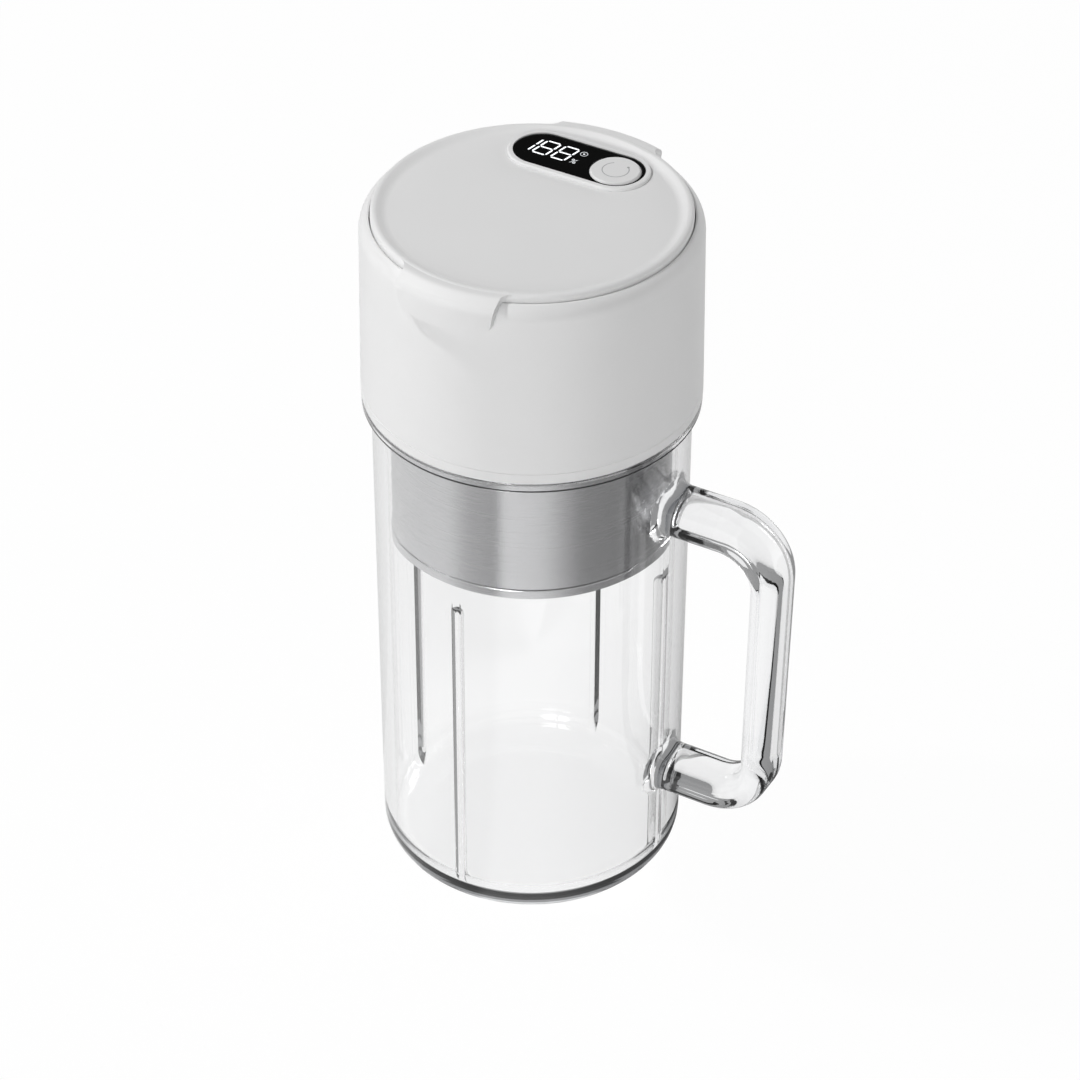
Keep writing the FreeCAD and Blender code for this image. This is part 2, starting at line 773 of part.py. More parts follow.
def display_module():
    top = cover_underside - fold_gap
    frame = block(module_left, module_right, display_y - module_half_depth,
                  display_y + module_half_depth, display_board_top, top)
    return frame.cut(block(module_left + module_wall, module_right - module_wall,
                           display_y - module_half_depth + module_wall,
                           display_y + module_half_depth - module_wall, top - module_wall, top))


def board_screws():
    length = board_thickness + board_drop - board_screw_spare
    return Part.makeCompound([screw(board_screw_radius, board_screw_head, board_screw_head_height,
                                    length, display_board_bottom, side * board_post_x, board_post_y)
                              for side in (-1, 1)])


# ---- head: floor, skirt and bearing ---------------------------------------------------
def motor_base():
    collar_inner = motor_radius + fold_gap
    collar_outer = collar_inner + motor_collar_wall
    collar_top = base_floor_top + motor_collar_height
    recess_radius = bearing_flange_radius + fold_gap
    recess_top = deck_top + bearing_flange + fold_gap
    rib_inner = neck_inner - part_gap - locating_rib_wall
    rib_outer = neck_inner - part_gap
    rib_bottom = base_floor_bottom - locating_rib_height
    edge = housing_inner - fold_gap
    floor = turned([(base_bore_radius, recess_top), (recess_radius, recess_top),
                    (recess_radius, boss_bottom), (base_boss_radius, boss_bottom, 2 * edge_break),
                    (base_boss_radius, base_floor_bottom), (rib_inner, base_floor_bottom),
                    (rib_inner, rib_bottom), (rib_outer, rib_bottom),
                    (rib_outer, base_floor_bottom), (edge, base_floor_bottom),
                    (edge - fold_gap, base_floor_top), (collar_outer, base_floor_top),
                    (collar_outer, collar_top), (collar_inner, collar_top),
                    (collar_inner, base_floor_top), (base_bore_radius, base_floor_top)])
    guides = [board_guide(side) for side in (-1, 1)]
    floor = floor.fuse(guides)
    holes = []
    for bearing in post_bearings:
        x, y = on_circle(post_circle, bearing)
        holes.append(rod(screw_radius + press_gap, boss_bottom, base_floor_top, x, y))
        holes.append(rod(screw_head_radius + screw_head_gap, boss_bottom, base_screw_seat(), x, y))
    skirt_screw_end = deck_bottom + skirt_screw_length + screw_tip_room
    for x, y in skirt_screw_places():
        holes.append(rod(screw_radius + press_gap, boss_bottom, skirt_screw_end, x, y))
    return floor.cut(holes)


def board_guide(side):
    """An upright with a slot that holds one edge of the charging board."""
    edge = side * charge_board_half_width
    board_y = port_back - board_thickness / 2
    half_depth = board_thickness / 2 + board_guide_wall
    low_x, high_x = sorted((edge - side * board_guide_grip, edge + side * board_guide_wall))
    upright_block = block(low_x, high_x, board_y - half_depth, board_y + half_depth,
                          base_floor_top - overlap, base_floor_top + board_guide_height)
    slot_x = sorted((edge - side * (board_guide_grip + overlap), edge + side * fold_gap))
    slot = block(slot_x[0], slot_x[1], board_y - board_thickness / 2 - fold_gap,
                 board_y + board_thickness / 2 + fold_gap, charge_board_low - fold_gap,
                 base_floor_top + board_guide_height)
    return upright_block.cut(slot)


def base_screw_seat():
    return boss_bottom + screw_head_height + 2 * screw_head_gap


def base_screws():
    screws = []
    for bearing in post_bearings:
        x, y = on_circle(post_circle, bearing)
        screws.append(screw(screw_radius, screw_head_radius, screw_head_height, base_screw_length,
                            base_screw_seat(), x, y))
    return Part.makeCompound(screws)


def skirt_screw_places():
    return [on_circle(skirt_screw_circle, skirt_screw_first + index * 120.0) for index in range(3)]


def skirt_screws():
    return Part.makeCompound([screw(screw_radius, screw_head_radius, screw_head_height,
                                    skirt_screw_length, deck_bottom, x, y)
                              for x, y in skirt_screw_places()])


def steel_skirt():
    inner = skirt_radius - skirt_wall
    lip = skirt_radius + skirt_lip_rise
    hole = bearing_radius + deck_hole_gap
    skirt = turned([(inner, skirt_bottom, edge_break), (lip, skirt_bottom, edge_break),
                    (lip, skirt_bottom + skirt_lip_height, edge_break),
                    (skirt_radius, skirt_bottom + skirt_lip_height + skirt_lip_rise),
                    (skirt_radius, deck_top, skirt_round), (hole, deck_top), (hole, deck_bottom),
                    (inner, deck_bottom, skirt_round - skirt_wall)])
    holes = [rod(screw_radius + press_gap, deck_bottom, deck_top, x, y)
             for x, y in skirt_screw_places()]
    return skirt.cut(holes)


def bearing_housing():
    flange_top_here = deck_top + bearing_flange
    upper_seat = flange_top_here - bush_length
    lower_seat = bearing_bottom + seal_length + bush_length
    seal_top = bearing_bottom + seal_length
    return turned([(bush_radius, flange_top_here), (bush_radius, upper_seat),
                   (bearing_waist, upper_seat), (bearing_waist, lower_seat),
                   (bush_radius, lower_seat), (bush_radius, seal_top), (seal_radius, seal_top),
                   (seal_radius, bearing_bottom), (bearing_nose_radius, bearing_bottom, edge_break),
                   (bearing_radius, bearing_bottom + bearing_nose_height),
                   (bearing_radius, deck_top),
                   (bearing_flange_radius, deck_top),
                   (bearing_flange_radius, flange_top_here)])


def bush(bottom):
    return pipe(bush_radius - press_gap, spindle_radius + running_fit, bottom, bottom + bush_length)


def bush_upper():
    return bush(deck_top + bearing_flange - bush_length)


def bush_lower():
    return bush(bearing_bottom + seal_length)


def shaft_seal():
    """A lip seal: a sleeve whose lower lip leans in to the spindle."""
    outer = seal_radius - press_gap
    inner = spindle_radius + running_fit
    sleeve = inner + seal_relief
    low = bearing_bottom + seal_sink
    top = bearing_bottom + seal_length
    shoulder = low + seal_lip_height
    return turned([(inner, low), (inner + seal_lip_width, low),
                   (inner + seal_lip_width + edge_break, shoulder), (outer, shoulder), (outer, top),
                   (sleeve, top), (sleeve, shoulder + edge_break), (inner, low + seal_lip_width)])


def jar_gasket():
    """A silicone ring with a soft bead, between the jar's rim and the floor of the head."""
    inner = neck_inner - fold_gap
    outer = inner + gasket_width
    top = gasket_bottom + gasket_height
    return turned([(inner, gasket_bottom, edge_break), (outer, gasket_bottom, edge_break),
                   (outer, top, edge_break), (inner, top, edge_break)])


# ---- head: motor ----------------------------------------------------------------------
def motor_can():
    inner = motor_radius - motor_wall
    return turned([(motor_bush_radius, motor_bottom), (motor_radius, motor_bottom, motor_can_round),
                   (motor_radius, motor_top - motor_cap_height),
                   (inner, motor_top - motor_cap_height), (inner, motor_bottom + motor_wall),
                   (motor_bush_radius, motor_bottom + motor_wall)]).cut(motor_screw_holes())


def motor_screw_holes():
    return [rod(motor_screw_radius + press_gap, motor_bottom, motor_bottom + motor_wall,
                *on_circle(motor_screw_circle, motor_screw_bearing + index * 180.0))
            for index in range(2)]


def motor_end_cap():
    low = motor_top - motor_cap_height
    inner = motor_radius - motor_wall - fold_gap
    spigot = low - motor_cap_spigot
    spigot_inner = inner - motor_cap_wall
    seat = motor_top - motor_rear_bush_length
    rim = motor_top - motor_cap_step
    return turned([(motor_bush_radius, motor_top), (motor_bush_radius, seat - motor_cap_step),
                   (spigot_inner, low), (spigot_inner, spigot), (inner, spigot), (inner, low),
                   (motor_radius, low), (motor_radius, rim, 2 * edge_break),
                   (motor_cap_boss_radius + motor_cap_step, rim), (motor_cap_boss_radius, motor_top)])


def motor_bush_front():
    return pipe(motor_bush_radius - press_gap, motor_shaft_radius + running_fit,
                motor_bottom - motor_nose, motor_bottom - motor_nose + motor_bush_length)


def motor_bush_rear():
    return pipe(motor_bush_radius - press_gap, motor_shaft_radius + running_fit,
                motor_top - motor_rear_bush_length, motor_top)


def motor_magnets():
    outer = motor_radius - motor_wall - fold_gap / 2
    low = armature_low - magnet_overhang
    high = armature_high + magnet_overhang
    arc = turned([(outer - magnet_thickness, low), (outer, low), (outer, high),
                  (outer - magnet_thickness, high)], magnet_angle, -magnet_angle / 2)
    return Part.makeCompound(around(arc, 2))


def motor_brushes():
    """Two carbon blocks that ride on the commutator, in the end cap's rim."""
    low = commutator_bottom + brush_width * 0.4
    inner = commutator_radius + running_fit
    outer = motor_radius - motor_wall - 2 * fold_gap - motor_cap_wall
    brush = block(inner, outer, -brush_width / 2, brush_width / 2, low, low + brush_width)
    brush = brush.cut(rod(commutator_radius + running_fit, low, low + brush_width))
    return Part.makeCompound(around(brush, 2, 90.0))


def motor_screws():
    """Two short screws up through the floor into the motor's front face."""
    screws = []
    for index in range(2):
        x, y = on_circle(motor_screw_circle, motor_screw_bearing + index * 180.0)
        screws.append(rod(motor_screw_radius, motor_bottom, motor_bottom + motor_screw_length, x, y))
    return Part.makeCompound(screws)


# ---- rotor: motor shaft to blades -----------------------------------------------------
def motor_shaft():
    return rod(motor_shaft_radius, coupling_middle + fold_gap, motor_top - motor_wall)


def armature_core():
    hub = rod(pole_stem, armature_low, armature_high)
    shoe = turned([(armature_radius - pole_shoe, armature_low), (armature_radius, armature_low),
                   (armature_radius, armature_high), (armature_radius - pole_shoe, armature_high)],
                  pole_angle, -pole_angle / 2)
    stem = block(0, armature_radius - pole_shoe / 2, -pole_stem / 2, pole_stem / 2, armature_low,
                 armature_high)
    pole = shoe.fuse(stem)
    core = hub.fuse(around(pole, armature_poles))
    bore = rod(motor_shaft_radius + press_gap, armature_low, armature_high)
    return core.cut(bore).removeSplitter()


def armature_windings():
    """A coil round each pole, swelling past the ends of the core."""
    low = armature_low - winding_swell
    high = armature_high + winding_swell
    inner = pole_stem + press_gap
    outer = armature_radius - pole_shoe - press_gap
    half = pole_stem / 2 + winding_swell
    corners = ((inner, low), (outer, low), (outer, high), (inner, high))
    coil = crosswise([(x, z, 2 * edge_break) for x, z in corners], half)
    stem = block(0, armature_radius, -pole_stem / 2 - press_gap, pole_stem / 2 + press_gap,
                 armature_low - press_gap, armature_high + press_gap)
    inside_shoe = rod(outer, low, high)
    return Part.makeCompound(around(coil.common(inside_shoe).cut(stem), armature_poles))


def commutator():
    body = pipe(commutator_radius, motor_shaft_radius + press_gap, commutator_bottom, commutator_top)
    slot = block(commutator_radius - commutator_slot, commutator_radius + 1, -commutator_slot / 2,
                 commutator_slot / 2, commutator_bottom, commutator_top)
    return body.cut(around(slot, armature_poles, 180.0 / armature_poles))


def drive_coupling():
    body = turned([(0, coupling_bottom), (coupling_radius, coupling_bottom, edge_break),
                   (coupling_radius, coupling_top, edge_break), (0, coupling_top)])
    lower = rod(spindle_radius + press_gap, coupling_bottom, coupling_middle)
    upper = rod(motor_shaft_radius + press_gap, coupling_middle, coupling_top)
    set_screw = rod(coupling_screw_radius, 0, coupling_radius + 1)
    set_screw.rotate(ORIGIN, V(0, 1, 0), 90)
    set_screw.translate(V(0, 0, (coupling_middle + coupling_top) / 2))
    return body.cut([lower, upper, set_screw])


def blade_spindle():
    """A ground spindle, stepped down to the threaded end that carries the blades."""
    end = lower_blade_height - nut_height
    flat_cut = block(spindle_thread_radius - spindle_flat, spindle_radius, -spindle_radius,
                     spindle_radius, end, hub_bottom)
    return turned([(0, end), (spindle_thread_radius, end, edge_break),
                   (spindle_thread_radius, hub_bottom), (spindle_radius, hub_bottom),
                   (spindle_radius, coupling_middle - fold_gap, edge_break),
                   (0, coupling_middle - fold_gap)]).cut(flat_cut)


def spindle_hole(low, high):
    """The D-shaped hole that keys a blade to the spindle."""
    hole = rod(spindle_thread_radius + press_gap, low, high)
    reach = spindle_thread_radius - spindle_flat + press_gap
    return hole.common(block(-spindle_radius, reach, -spindle_radius, spindle_radius, low, high))


def blade(height, lift, bearing):
    """A two-armed blade: flat at the hub, its swept arms bent up or down and ground sharp."""
    thick = blade_thickness
    run = blade_reach - blade_flat
    slant = thick * math.hypot(run, lift) / run
    bend = [(-blade_reach, height + lift), (-blade_flat, height), (blade_flat, height),
            (blade_reach, height + lift), (blade_reach, height + lift + slant),
            (blade_flat, height + thick), (-blade_flat, height + thick),
            (-blade_reach, height + lift + slant)]
    strip = crosswise(bend, blade_reach)
    low = height + min(lift, 0) - 1
    high = height + max(lift, 0) + 2 * slant
    half_tip = blade_tip_width / 2
    arm = [(blade_root, -blade_root, blade_root_round), (blade_reach, -blade_sweep - half_tip),
           (blade_reach - blade_tip_set, -blade_sweep + half_tip, blade_tip_round),
           (blade_root, blade_lead, blade_root_round)]
    plan = upright(arm + [(-corner[0], -corner[1], *corner[2:]) for corner in arm], low, high)
    shape = strip.common(plan)
    for turn in (0, 180):
        shape = shape.cut(turned_to(bevel_cutter(height, lift), turn))
    return turned_to(shape, bearing).cut(spindle_hole(low, high))


def bevel_cutter(height, lift):
    """A wedge that grinds the leading edge of the arm at +X."""
    run = blade_reach - blade_flat
    slope = math.degrees(math.atan2(lift, run))
    lead = math.degrees(math.atan2(blade_lead + blade_sweep - blade_tip_width / 2,
                                   blade_reach - blade_tip_set - blade_root))
    length = run + blade_flat
    wedge = Part.Face(Part.makePolygon([V(0, -blade_bevel, blade_thickness + 1e-3),
                                        V(0, 1, -blade_thickness / 2),
                                        V(0, 1, blade_thickness + 1),
                                        V(0, -blade_bevel, blade_thickness + 1),
                                        V(0, -blade_bevel, blade_thickness + 1e-3)]))
    cutter = wedge.extrude(V(length, 0, 0))
    cutter.rotate(ORIGIN, V(0, 1, 0), -slope)
    cutter.rotate(ORIGIN, UP, -lead)
    edge_y = blade_lead - (blade_flat - blade_root) * math.tan(math.radians(lead))
    cutter.translate(V(blade_flat, edge_y, height))
    return cutter


def lower_blade():
    return blade(lower_blade_height, -lower_blade_drop, 0)


def upper_blade():
    return blade(upper_blade_height, upper_blade_rise, 90)


def blade_spacer():
    low = lower_blade_height + blade_thickness
    return rod(hub_radius, low, upper_blade_height).cut(spindle_hole(low, upper_blade_height))


def blade_hub():
    """The collar between the upper blade and the seal, with a slinger rim."""
    bore = spindle_radius + press_gap
    rim = hub_radius + slinger_width
    return turned([(bore, hub_bottom), (hub_radius, hub_bottom),
                   (hub_radius, hub_top - slinger_width - overlap),
                   (rim, hub_top - slinger_width, edge_break), (rim, hub_top, edge_break),
                   (bore, hub_top)])


def lock_nut():
    """A domed cap nut under the lower blade."""
    top = lower_blade_height
    bottom = top - nut_height - nut_dome
    corner = nut_flats / math.sqrt(3)
    hexagon = [on_circle(corner, 60.0 * side) for side in range(6)]
    prism = upright(hexagon, top - nut_height, top)
    dome = turned([(0, bottom), (nut_dome_radius, bottom, nut_dome_round), (nut_dome_radius, top),
                   (0, top)])
    bore = rod(spindle_thread_radius + press_gap, top - nut_height - fold_gap, top)
    return prism.fuse(dome).cut(bore)


# ---- battery and charging -------------------------------------------------------------
def battery_cell(side):
    low = base_floor_top + holder_floor
    high = low + cell_length - cell_cap_height
    cell = turned([(0, low), (cell_radius, low, cell_round), (cell_radius, high, cell_round),
                   (cell_cap_radius, high), (cell_cap_radius, high + cell_cap_height, edge_break),
                   (0, high + cell_cap_height)])
    cell.translate(V(side * cell_x, 0, 0))
    return cell


def cell_holder():
    """A moulded cradle with two open cups, joined across behind the motor's collar."""
    cup_inner = cell_radius + holder_gap
    cup_outer = cup_inner + holder_wall
    low = base_floor_top
    floor_top = low + holder_floor
    top = low + holder_height
    bridge_top = low + holder_bridge_height
    bridge_front = -motor_radius - motor_collar_wall - holder_bridge_gap
    bridge_rear = bridge_front - holder_bridge
    bridge = block(-cell_x, cell_x, bridge_rear, bridge_front, low, bridge_top)
    cups = []
    wells = []
    for side in (-1, 1):
        cups.append(rod(cup_outer, low, top, side * cell_x, 0))
        wells.append(rod(cup_inner, floor_top, top, side * cell_x, 0))
        wells.append(block(*sorted((side * cell_x, side * (cell_x + cup_outer + overlap))),
                           -holder_window / 2, holder_window / 2, floor_top, top))
    arms = [block(*sorted((side * (cell_x - cup_outer / 2), side * (cell_x - holder_bridge))),
                  bridge_rear, 0, low, bridge_top) for side in (-1, 1)]
    cradle = cups[0].fuse([cups[1], bridge] + arms)
    clear_motor = rod(collar_clear_radius, low, top)
    return cradle.cut(wells + [clear_motor])


def charge_board():
    return block(-charge_board_half_width, charge_board_half_width, port_back - board_thickness,
                 port_back, charge_board_low, charge_board_high)


def usb_socket():
    half_width = port_width / 2
    half_height = port_thickness / 2
    shell = port_opening(half_width, half_height, port_back, port_front)
    well = port_opening(half_width - port_shell, half_height - port_shell, port_back + port_wall,
                        port_front)
    tongue = block(-port_tongue_width / 2, port_tongue_width / 2, port_back, port_front - port_tongue,
                   port_height - port_tongue / 2, port_height + port_tongue / 2)
    return shell.cut(well).fuse(tongue)


def port_seal():
    """A soft flap that closes the charging port, with a nib that fills its mouth."""
    flap = flap_form(0, -flap_recess + fold_gap, -flap_recess + fold_gap + flap_thickness)
    nib_face = housing_radius(port_height) - flap_recess
    nib = port_opening(flap_nib_width / 2, flap_nib_height / 2, nib_face - flap_nib_depth,
                       nib_face + flap_thickness / 2)
    return flap.fuse(nib)


# ---- every piece, written as its own file ---------------------------------------------
pieces = {
    "jar": jar,
    "jar_handle": jar_handle,
    "jar_gasket": jar_gasket,
    "base_ring": base_ring,
    "head_housing": head_housing,
    "motor_base": motor_base,
    "base_screws": base_screws,
    "steel_skirt": steel_skirt,
    "skirt_screws": skirt_screws,
    "bearing_housing": bearing_housing,
    "bush_upper": bush_upper,
    "bush_lower": bush_lower,
    "shaft_seal": shaft_seal,
    "motor_can": motor_can,
    "motor_end_cap": motor_end_cap,
    "motor_bush_front": motor_bush_front,
    "motor_bush_rear": motor_bush_rear,
    "motor_magnets": motor_magnets,
    "motor_brushes": motor_brushes,
    "motor_screws": motor_screws,
    "motor_shaft": motor_shaft,
    "armature_core": armature_core,
    "armature_windings": armature_windings,
    "commutator": commutator,
    "drive_coupling": drive_coupling,
    "blade_spindle": blade_spindle,
    "blade_hub": blade_hub,
    "upper_blade": upper_blade,
    "blade_spacer": blade_spacer,
    "lower_blade": lower_blade,
    "lock_nut": lock_nut,
    "battery_cell_left": lambda: battery_cell(-1),
    "battery_cell_right": lambda: battery_cell(1),
    "cell_holder": cell_holder,
    "charge_board": charge_board,
    "usb_socket": usb_socket,
    "port_seal": port_seal,
    "top_cover": top_cover,
    "display_bezel": display_bezel,
    "display_window": display_window,
    "power_button": power_button,
    "switch_plunger": switch_plunger,
    "tact_switch": tact_switch,
    "display_board": display_board,
    "display_module": display_module,
    "board_screws": board_screws,
}

os.makedirs("parts", exist_ok=True)
for name, make in pieces.items():
    shape = make()
    shape.exportStep("parts/" + name + ".step")
    print(name, "solids", len(shape.Solids), "valid", shape.isValid(), "volume", round(shape.Volume, 1))
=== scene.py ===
import json
import math

import bmesh
import bpy
from mathutils import Matrix, Vector

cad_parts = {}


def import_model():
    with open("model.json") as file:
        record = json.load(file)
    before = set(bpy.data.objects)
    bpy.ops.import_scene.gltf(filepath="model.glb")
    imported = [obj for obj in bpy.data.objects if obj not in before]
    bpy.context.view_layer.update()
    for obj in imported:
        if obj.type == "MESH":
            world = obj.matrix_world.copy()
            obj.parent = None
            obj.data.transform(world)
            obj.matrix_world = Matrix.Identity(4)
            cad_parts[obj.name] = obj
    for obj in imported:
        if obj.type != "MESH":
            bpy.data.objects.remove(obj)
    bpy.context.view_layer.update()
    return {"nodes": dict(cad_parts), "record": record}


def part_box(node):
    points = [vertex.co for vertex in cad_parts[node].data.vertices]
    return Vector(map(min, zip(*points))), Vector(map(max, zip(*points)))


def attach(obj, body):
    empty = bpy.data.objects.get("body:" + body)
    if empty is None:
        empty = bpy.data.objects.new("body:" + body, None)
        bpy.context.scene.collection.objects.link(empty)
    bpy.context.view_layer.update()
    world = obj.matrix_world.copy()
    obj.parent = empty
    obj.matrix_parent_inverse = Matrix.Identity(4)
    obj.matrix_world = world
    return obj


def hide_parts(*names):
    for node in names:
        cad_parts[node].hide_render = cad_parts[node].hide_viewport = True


# Portable mug blender.  Lengths are named in millimetres and turned to metres where a mesh
# is made.  +Z is up along the blade spindle, +X points to the handle, the display is at +Y.

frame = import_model()

mm = 0.001
nodes = frame["nodes"]


def corners_mm(node):
    """A frame node's lowest and highest corners, in millimetres."""
    low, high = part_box(node)
    return low / mm, high / mm


# ---- jar, in millimetres --------------------------------------------------------------
jar_high = corners_mm("jar")[1]
jar_wall = 3.2
jar_floor = 5.0
base_corner = 9.0           # outer rounding between base and wall
floor_corner = 6.5          # inner rounding between floor and wall
neck_height = 6.7
neck_step = 4.2             # neck's face behind the flange's edge
neck_wall = 1.6
flange_thickness = 2.2
flange_edge = 0.5
wall_step = 2.35            # body's face behind the flange's edge, at the top
wall_taper = 0.6            # the base is this much slimmer than the top
rib_width = 2.6
rib_depth = 2.2
rib_top = 98.0
rib_squareness = 3.0        # 2 would make a rib's nose round, more makes it squarer
rib_columns = (0.0, 0.25, 0.5, 0.68, 0.8, 0.9, 0.96, 1.0, 1.06)     # across half a rib
rib_end_rows = (0.02, 0.1, 0.25, 0.5, 0.9, 1.4, 2.2)                # below a rib's top
rib_bearings = (0.0, 90.0, 180.0, 270.0)
lug_depth = 1.2
lug_heights = (146.1, 148.1)
lug_angle = 24.0            # from end to end of a lug, degrees
lug_lead = 0.6              # last plain row under the lugs
lug_edge = 0.2              # rise of a lug's top and bottom faces
lug_side = 0.4              # turn of each of its end faces, degrees
lug_bearings = (30.0, 150.0, 270.0)
neck_edge = 0.4
column_step = 1.25          # between the lathe's even columns, degrees
column_room = 0.5           # no even column comes nearer to a rib's or lug's
row_step = 3.0              # longest run between rows
row_support = 0.25          # a long run's first and last rows lie this close to its ends
bend_rows = 10              # rows round each corner outside, less one
rim_rows = 12               # and round those of the rim and the inside
axis_room = 1e-6            # a point nearer to the axis than this is on it
join_jar = 0.002            # points nearer than this are one, where the handle is joined on

flange_radius = jar_high.x
neck_top = jar_high.z
flange_top = neck_top - neck_height
flange_bottom = flange_top - flange_thickness
neck_radius = flange_radius - neck_step
neck_inner = neck_radius - neck_wall
wall_top_radius = flange_radius - wall_step
wall_base_radius = wall_top_radius - wall_taper
inner_base_radius = wall_base_radius - jar_wall
rib_half = math.degrees(rib_width / 2 / inner_base_radius)      # half a rib, in degrees

# ---- jar handle -----------------------------------------------------------------------
handle_reach = 73.0         # outer face of the grip, drawn to its square corner
handle_grip = 8.6
handle_top = 125.2
handle_top_arm = 10.8
handle_bottom = 32.0
handle_bottom_arm = 9.8
handle_lean = 1.6
handle_half_width = 6.8
outer_bend = 17.0
inner_bend = 8.5
handle_edge = 3.9
edge_room = 0.2             # left flat between two roundings, where the grip is thin
root_flare = 3.2
root_sink = 0.07            # the flare's curve ends this far under the wall's face
root_overlap = 1.2          # how far the handle's blank runs into the wall
root_skin = 0.4             # the second ring, under the wall's face
root_spread = 0.12          # the rings inside the wall are this much wider than the flare
root_angles = (0, 14, 22, 30, 38, 46, 54, 62, 70, 78, 84, 90)       # rings round the flare
arm_rings = (4.2, 5.4, 6.8)     # and past it, out to where an arm's rings are flat
arm_start = 8.0             # the swept bar begins this far outside the wall's base
sweep_step = 2.5
bend_steps = 20
corner_steps = 10           # points round a section's corner, less one
flat_shares = (0.9, 0.45, 0.0, -0.45, -0.9)
side_shares = (0.8, 0.0, -0.8)

# ---- head -----------------------------------------------------------------------------
window_low, window_high = corners_mm("display_window")
button_low, button_high = corners_mm("power_button")
button_centre = (button_low + button_high) / 2
window_middle = (window_low + window_high) / 2


# ---- node maths -----------------------------------------------------------------------
class Wire:
    """A node's socket.  Arithmetic on it adds Math nodes to its tree."""

    def __init__(self, board, socket):
        self.board = board
        self.socket = socket

    def __add__(self, other):
        return self.board.maths("ADD", self, other)

    def __radd__(self, other):
        return self.board.maths("ADD", other, self)

    def __sub__(self, other):
        return self.board.maths("SUBTRACT", self, other)

    def __rsub__(self, other):
        return self.board.maths("SUBTRACT", other, self)

    def __mul__(self, other):
        return self.board.maths("MULTIPLY", self, other)

    def __truediv__(self, other):
        return self.board.maths("DIVIDE", self, other)

    def __gt__(self, other):
        return self.board.maths("GREATER_THAN", self, other)

    def __lt__(self, other):
        return self.board.maths("LESS_THAN", self, other)


class Board:
    """A node tree under construction, of a material or of the world."""

    def __init__(self, tree):
        self.tree = tree

    def node(self, kind, settings=None, inputs=None):
        """Adds a node: its settings first, then the values or wires of its sockets."""
        made = self.tree.nodes.new(kind)
        for name, value in (settings or {}).items():
            setattr(made, name, value)
        for name, value in (inputs or {}).items():
            if isinstance(value, Wire):
                self.tree.links.new(value.socket, made.inputs[name])
            else:
                made.inputs[name].default_value = value
        return made

    def wire(self, kind, settings=None, inputs=None, output=0):
        """A new node's output, ready for arithmetic."""
        return Wire(self, self.node(kind, settings, inputs).outputs[output])

    def maths(self, operation, *values):
        return self.wire("ShaderNodeMath", {"operation": operation}, dict(enumerate(values)))

    def ramp(self, factor, stops, interpolation="LINEAR"):
        """A grey that follows (place, tone) stops."""
        made = self.node("ShaderNodeValToRGB", None, {"Fac": factor})
        elements = made.color_ramp.elements
        while len(elements) < len(stops):
            elements.new(0.5)
        for element, (place, tone) in zip(elements, stops):
            element.position = place
            element.color = (tone, tone, tone, 1.0)
        made.color_ramp.interpolation = interpolation
        return Wire(self, made.outputs["Color"])

    def blend(self, factor, first, second):
        """A colour between two others."""
        return self.wire("ShaderNodeMix", {"data_type": "RGBA"},
                         {0: factor, 6: first, 7: second}, 2)

    def noise(self, vector, scale, detail=2.0, roughness=0.5):
        return self.wire("ShaderNodeTexNoise", None,
                         {"Vector": vector, "Scale": scale, "Detail": detail,
                          "Roughness": roughness}, "Fac")

    def bearing_share(self, vector):
        """Bearing about the blender's axis, 0 at -X, 0.5 at +X, growing anticlockwise."""
        apart = self.node("ShaderNodeSeparateXYZ", None, {"Vector": vector})
        x, y = Wire(self, apart.outputs["X"]), Wire(self, apart.outputs["Y"])
        return self.maths("ARCTAN2", y, x) / math.tau + 0.5


class Finish(Board):
    """A material: constants go on the shader itself, and what varies is wired to it."""

    def __init__(self, name, constants):
        self.material = bpy.data.materials.new(name)
        self.material.use_nodes = True
        super().__init__(self.material.node_tree)
        self.shader = self.tree.nodes["Principled BSDF"]
        self.output = self.tree.nodes["Material Output"]
        for socket, value in constants.items():
            self.shader.inputs[socket].default_value = value

    def place(self):
        """The object's own coordinates, in metres."""
        return self.wire("ShaderNodeTexCoord", output="Object")

    def feed(self, socket, wire):
        self.tree.links.new(wire.socket, self.shader.inputs[socket])

    def bump(self, height, strength, distance):
        normal = self.wire("ShaderNodeBump", None,
                           {"Height": height, "Strength": strength, "Distance": distance})
        self.feed("Normal", normal)

    def grain(self, colour, spread, scale, roughness, roughness_spread):
        """A moulded surface: a faint mottle in colour and in gloss."""
        mottle = self.noise(self.place(), scale, detail=3.0)
        low = [channel * (1 - spread) for channel in colour]
        high = [min(channel * (1 + spread), 1.0) for channel in colour]
        self.feed("Base Color", self.blend(mottle, (*low, 1.0), (*high, 1.0)))
        self.feed("Roughness", roughness + (mottle - 0.5) * roughness_spread)


# ---- finishes -------------------------------------------------------------------------
def moulded(name, colour, roughness):
    """Injection moulded plastic with a fine spark-eroded skin."""
    finish = Finish(name, {"Specular IOR Level": 0.5})
    finish.grain(colour, spread=0.012, scale=55.0, roughness=roughness, roughness_spread=0.08)
    skin = finish.noise(finish.place(), scale=2600.0)
    finish.bump(skin, strength=0.12, distance=0.00002)
    return finish.material


